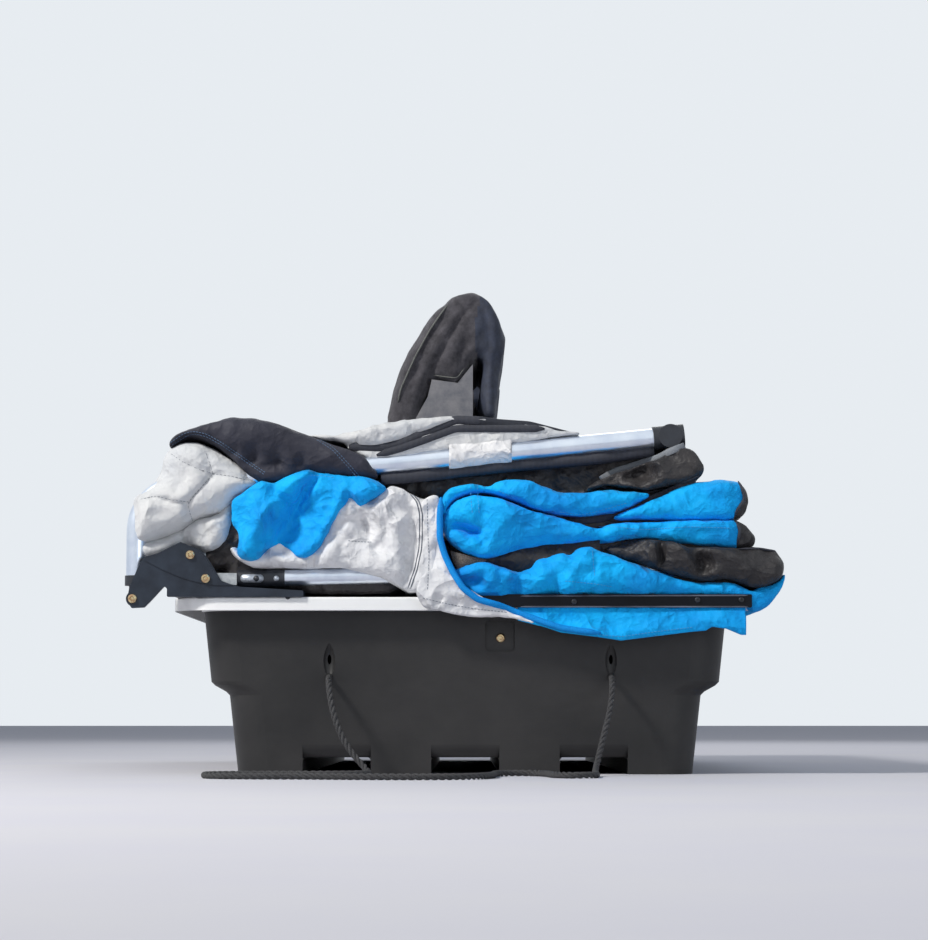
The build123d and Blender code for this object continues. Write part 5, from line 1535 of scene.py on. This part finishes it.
roof_edge = [
    (-472, 531), (-453, 544), (-437, 547), (-416, 542), (-391, 528), (-360, 507), (-324, 482)]
roof_seam = [(-236, 536), (-212, 520), (-188, 494), (-173, 477)]
sewn_rows("roof_stitches", [
    beside(roof_edge, -1.6), beside(roof_edge, 2.0), beside(roof_seam, -2), beside(roof_seam, 2)],
    (96, 124, 158))
sewn_rows("quilt_stitches", [
    [(-416, 512), (-410, 496), (-404, 480), (-420, 461), (-432, 448), (-445, 432), (-440, 408)],
    [(-404, 480), (-380, 477), (-344, 470)], [(-445, 435), (-469, 437), (-496, 445), (-520, 440)],
    [(-480, 518), (-456, 501), (-431, 488), (-404, 480)]],
    (150, 156, 164), spacing=0.0062)
sewn_rows("blue_stitches", [
    [(9, 462), (9, 440), (11, 418)], [(20, 461), (20, 440), (22, 418)],
    [(153, 418), (184, 414), (211, 419), (256, 432)], [(203, 354), (204, 336), (206, 318)],
    [(161, 307), (198, 304), (232, 299)], [(56, 451), (80, 438), (104, 424)],
    [(128, 240), (152, 232), (184, 227), (216, 222), (248, 219), (296, 226), (360, 234)],
    [(-247, 477), (-229, 477), (-213, 474)], [(216, 397), (280, 390), (360, 394), (420, 392)]],
    (70, 176, 240))
sewn_rows("panel_stitches", [
    [(-186, 373), (-168, 371), (-151, 371)], [(-61, 437), (-60, 392), (-58, 344), (-60, 296)],
    [(-66, 280), (-24, 270), (24, 262), (64, 258)]],
    (140, 148, 160))

# Bolts and screws: zinc-plated bolts with a sunk socket hold the brackets and stand in the tub's
# recess, and small black ones hold the clamp strip and the rim. A node tree sets one head at each
# place.
head_sides = 24
head_profile = [
    (0.5, -0.3), (0.5, 0.1), (0.46, 0.22), (0.34, 0.33), (0.23, 0.34), (0.2, 0.3), (0.19, 0.1)]
around_head = (0, 1.26, 2.51, 3.77, 5.03)
screw_verts = [
    (r * math.cos(2 * math.pi * k / head_sides), r * math.sin(2 * math.pi * k / head_sides), z)
    for r, z in head_profile for k in range(head_sides)]
last_ring = (len(head_profile) - 1) * head_sides
screw_faces = [tuple(reversed(range(head_sides))), tuple(last_ring + k for k in range(head_sides))]
for ring in range(len(head_profile) - 1):
    for k in range(head_sides):
        a, b = ring * head_sides + k, ring * head_sides + (k + 1) % head_sides
        screw_faces.append((a, b, b + head_sides, a + head_sides))
screw_mesh = bpy.data.meshes.new("screw_head")
screw_mesh.from_pydata(screw_verts, [], screw_faces)
screw_head = shown("screw_head", screw_mesh)
fixing, fixing_sockets, given, heads, turn = repeat_tree("screw_heads", {
    "Geometry": "Geometry", "Head Width": "Float", "Metal": "Material"})
outward = add(fixing, "GeometryNodeInputNamedAttribute", {"Name": "outward"}, data_type="FLOAT_VECTOR")
for link in (
        (given, "Geometry", heads, "Points"), (given, "Head Width", heads, "Scale"),
        (add(fixing, "GeometryNodeObjectInfo", {"Object": screw_head}), "Geometry", heads, "Instance"),
        (outward, "Attribute", turn, "Vector")):
    join(fixing, *link)


def screwed(name, places, width, metal):
    """Heads on the rigid pieces: each place is X, Z, the end of the sled and the piece it sits on."""
    points, outs = [], []
    for x, z, side, holder in places:
        skins, r = faces_of(holder), 0.49 * width
        ring = [met(skins, x + r * math.cos(a), z + r * math.sin(a), side) for a in around_head]
        points.append(spot(x, np.nanmedian(ring), z))
        outs += [0.0, float(side), 0.0]
    base = bpy.data.meshes.new(name)
    base.from_pydata(points, [], [])
    base.attributes.new("outward", "FLOAT_VECTOR", "POINT").data.foreach_set("vector", outs)
    grown(name, base, fixing, fixing_sockets, {"Head Width": width / 1000, "Metal": metal})


bolt_zinc = mottled(
    "bolt_zinc", (200, 172, 124), rough=0.24, dark=(180, 138, 104), light=(226, 212, 168),
    cloud=(220, 4, 0.6), bumps=[(0.2, 0.0002)], low=0.35, high=0.65, metal=1.0)
bolt_width, screw_width, rivet_width = 15, 9, 8
bracket_bolts = [(-532, 280), (-440, 350), (-415, 312)]
strip_screws = [(174, 275), (371, 278), (441, 278)]
bolt_places = [(x, z, side, end + "_bracket") for end, side in sled_ends for x, z in bracket_bolts]
strip_places = [(x, z, side, end + "_strip") for end, side in sled_ends for x, z in strip_screws]
screwed("bolt_heads", bolt_places + [(57, 219, -1, "sled_tub")], bolt_width, bolt_zinc)
screwed("strip_screw_heads", strip_places, screw_width, fitting_nylon)
rivet_places = [(-284, 283, side, "sled_rim") for side in (-1, 1)]
screwed("rim_rivet_heads", rivet_places, rivet_width, fitting_nylon)
bpy.data.objects.remove(screw_head)

# Strip lips: the clamp strip is a shallow channel, and its two long edges are turned out in beads,
# coloured paler than the strip as a painted highlight along them.
# Painted highlight: the beads take a paler blue-grey than the strip, standing in for the light on its edges.
strip_lip_highlight = mottled(
    "strip_lip_highlight", (74, 80, 94), rough=0.36, dark=(44, 48, 60), light=(104, 110, 124),
    cloud=(30, 4, 0.6, (0.3, 1, 1)), bumps=[(0.1, 0.0003)], low=0.35, high=0.65)
strip_skins = faces_of("near_strip", "far_strip")
lips = [(88, 284), (452, 285)], [(88, 267), (452, 267)]
at_both_ends("strip_lips", strip_lip_highlight, lambda side: [
    swept(laid_on(strip_skins, lip, side, lift=-0.6, ease=0), round_cord(1.3), side, narrow=3)
    for lip in lips])

# Lock buttons: on each lock sleeve a pale oval plate carries a black spring button, and a pale
# rivet stands beside it.
plate_left, plate_right, plate_z = -354, -330, 313
plate_half = 6.6
plate_depth = 3
plate_metal = mottled(
    "plate_metal", (176, 184, 194), rough=0.4, dark=(160, 168, 178), light=(196, 203, 212), cloud=(160, 3),
    bumps=[(0.1, 0.0002)], metal=0.7)


def on_sleeve(side, x, outline, proud):
    """A flat plate let into the lock sleeve, standing proud of it at one place."""
    front = abs(met(faces_of("near_lock_sleeve" if side < 0 else "far_lock_sleeve"), x, plate_z, side))
    return slab(outline, side * (front - plate_depth), side * (front + proud))


def disc(x, radius):
    turns = [2 * math.pi * k / 24 for k in range(24)]
    return [(x + radius * math.cos(a), plate_z + radius * math.sin(a)) for a in turns]


half_turns = [math.pi * (0.5 + k / 12) for k in range(13)]
oval = [(plate_left + plate_half * math.cos(a), plate_z + plate_half * math.sin(a)) for a in half_turns]
oval += [(plate_right - plate_half * math.cos(a), plate_z - plate_half * math.sin(a)) for a in half_turns]
at_both_ends("lock_plate", plate_metal, lambda side: [
    on_sleeve(side, plate_left, oval, 1.2), on_sleeve(side, -303, disc(-303, 4.4), 1.4)])
at_both_ends("lock_button", fitting_nylon, lambda side: [
    on_sleeve(side, -335, disc(-335, 4.6), 2.6)])

cad_box = [[float(v) for v in corner] for corner in cad_box]
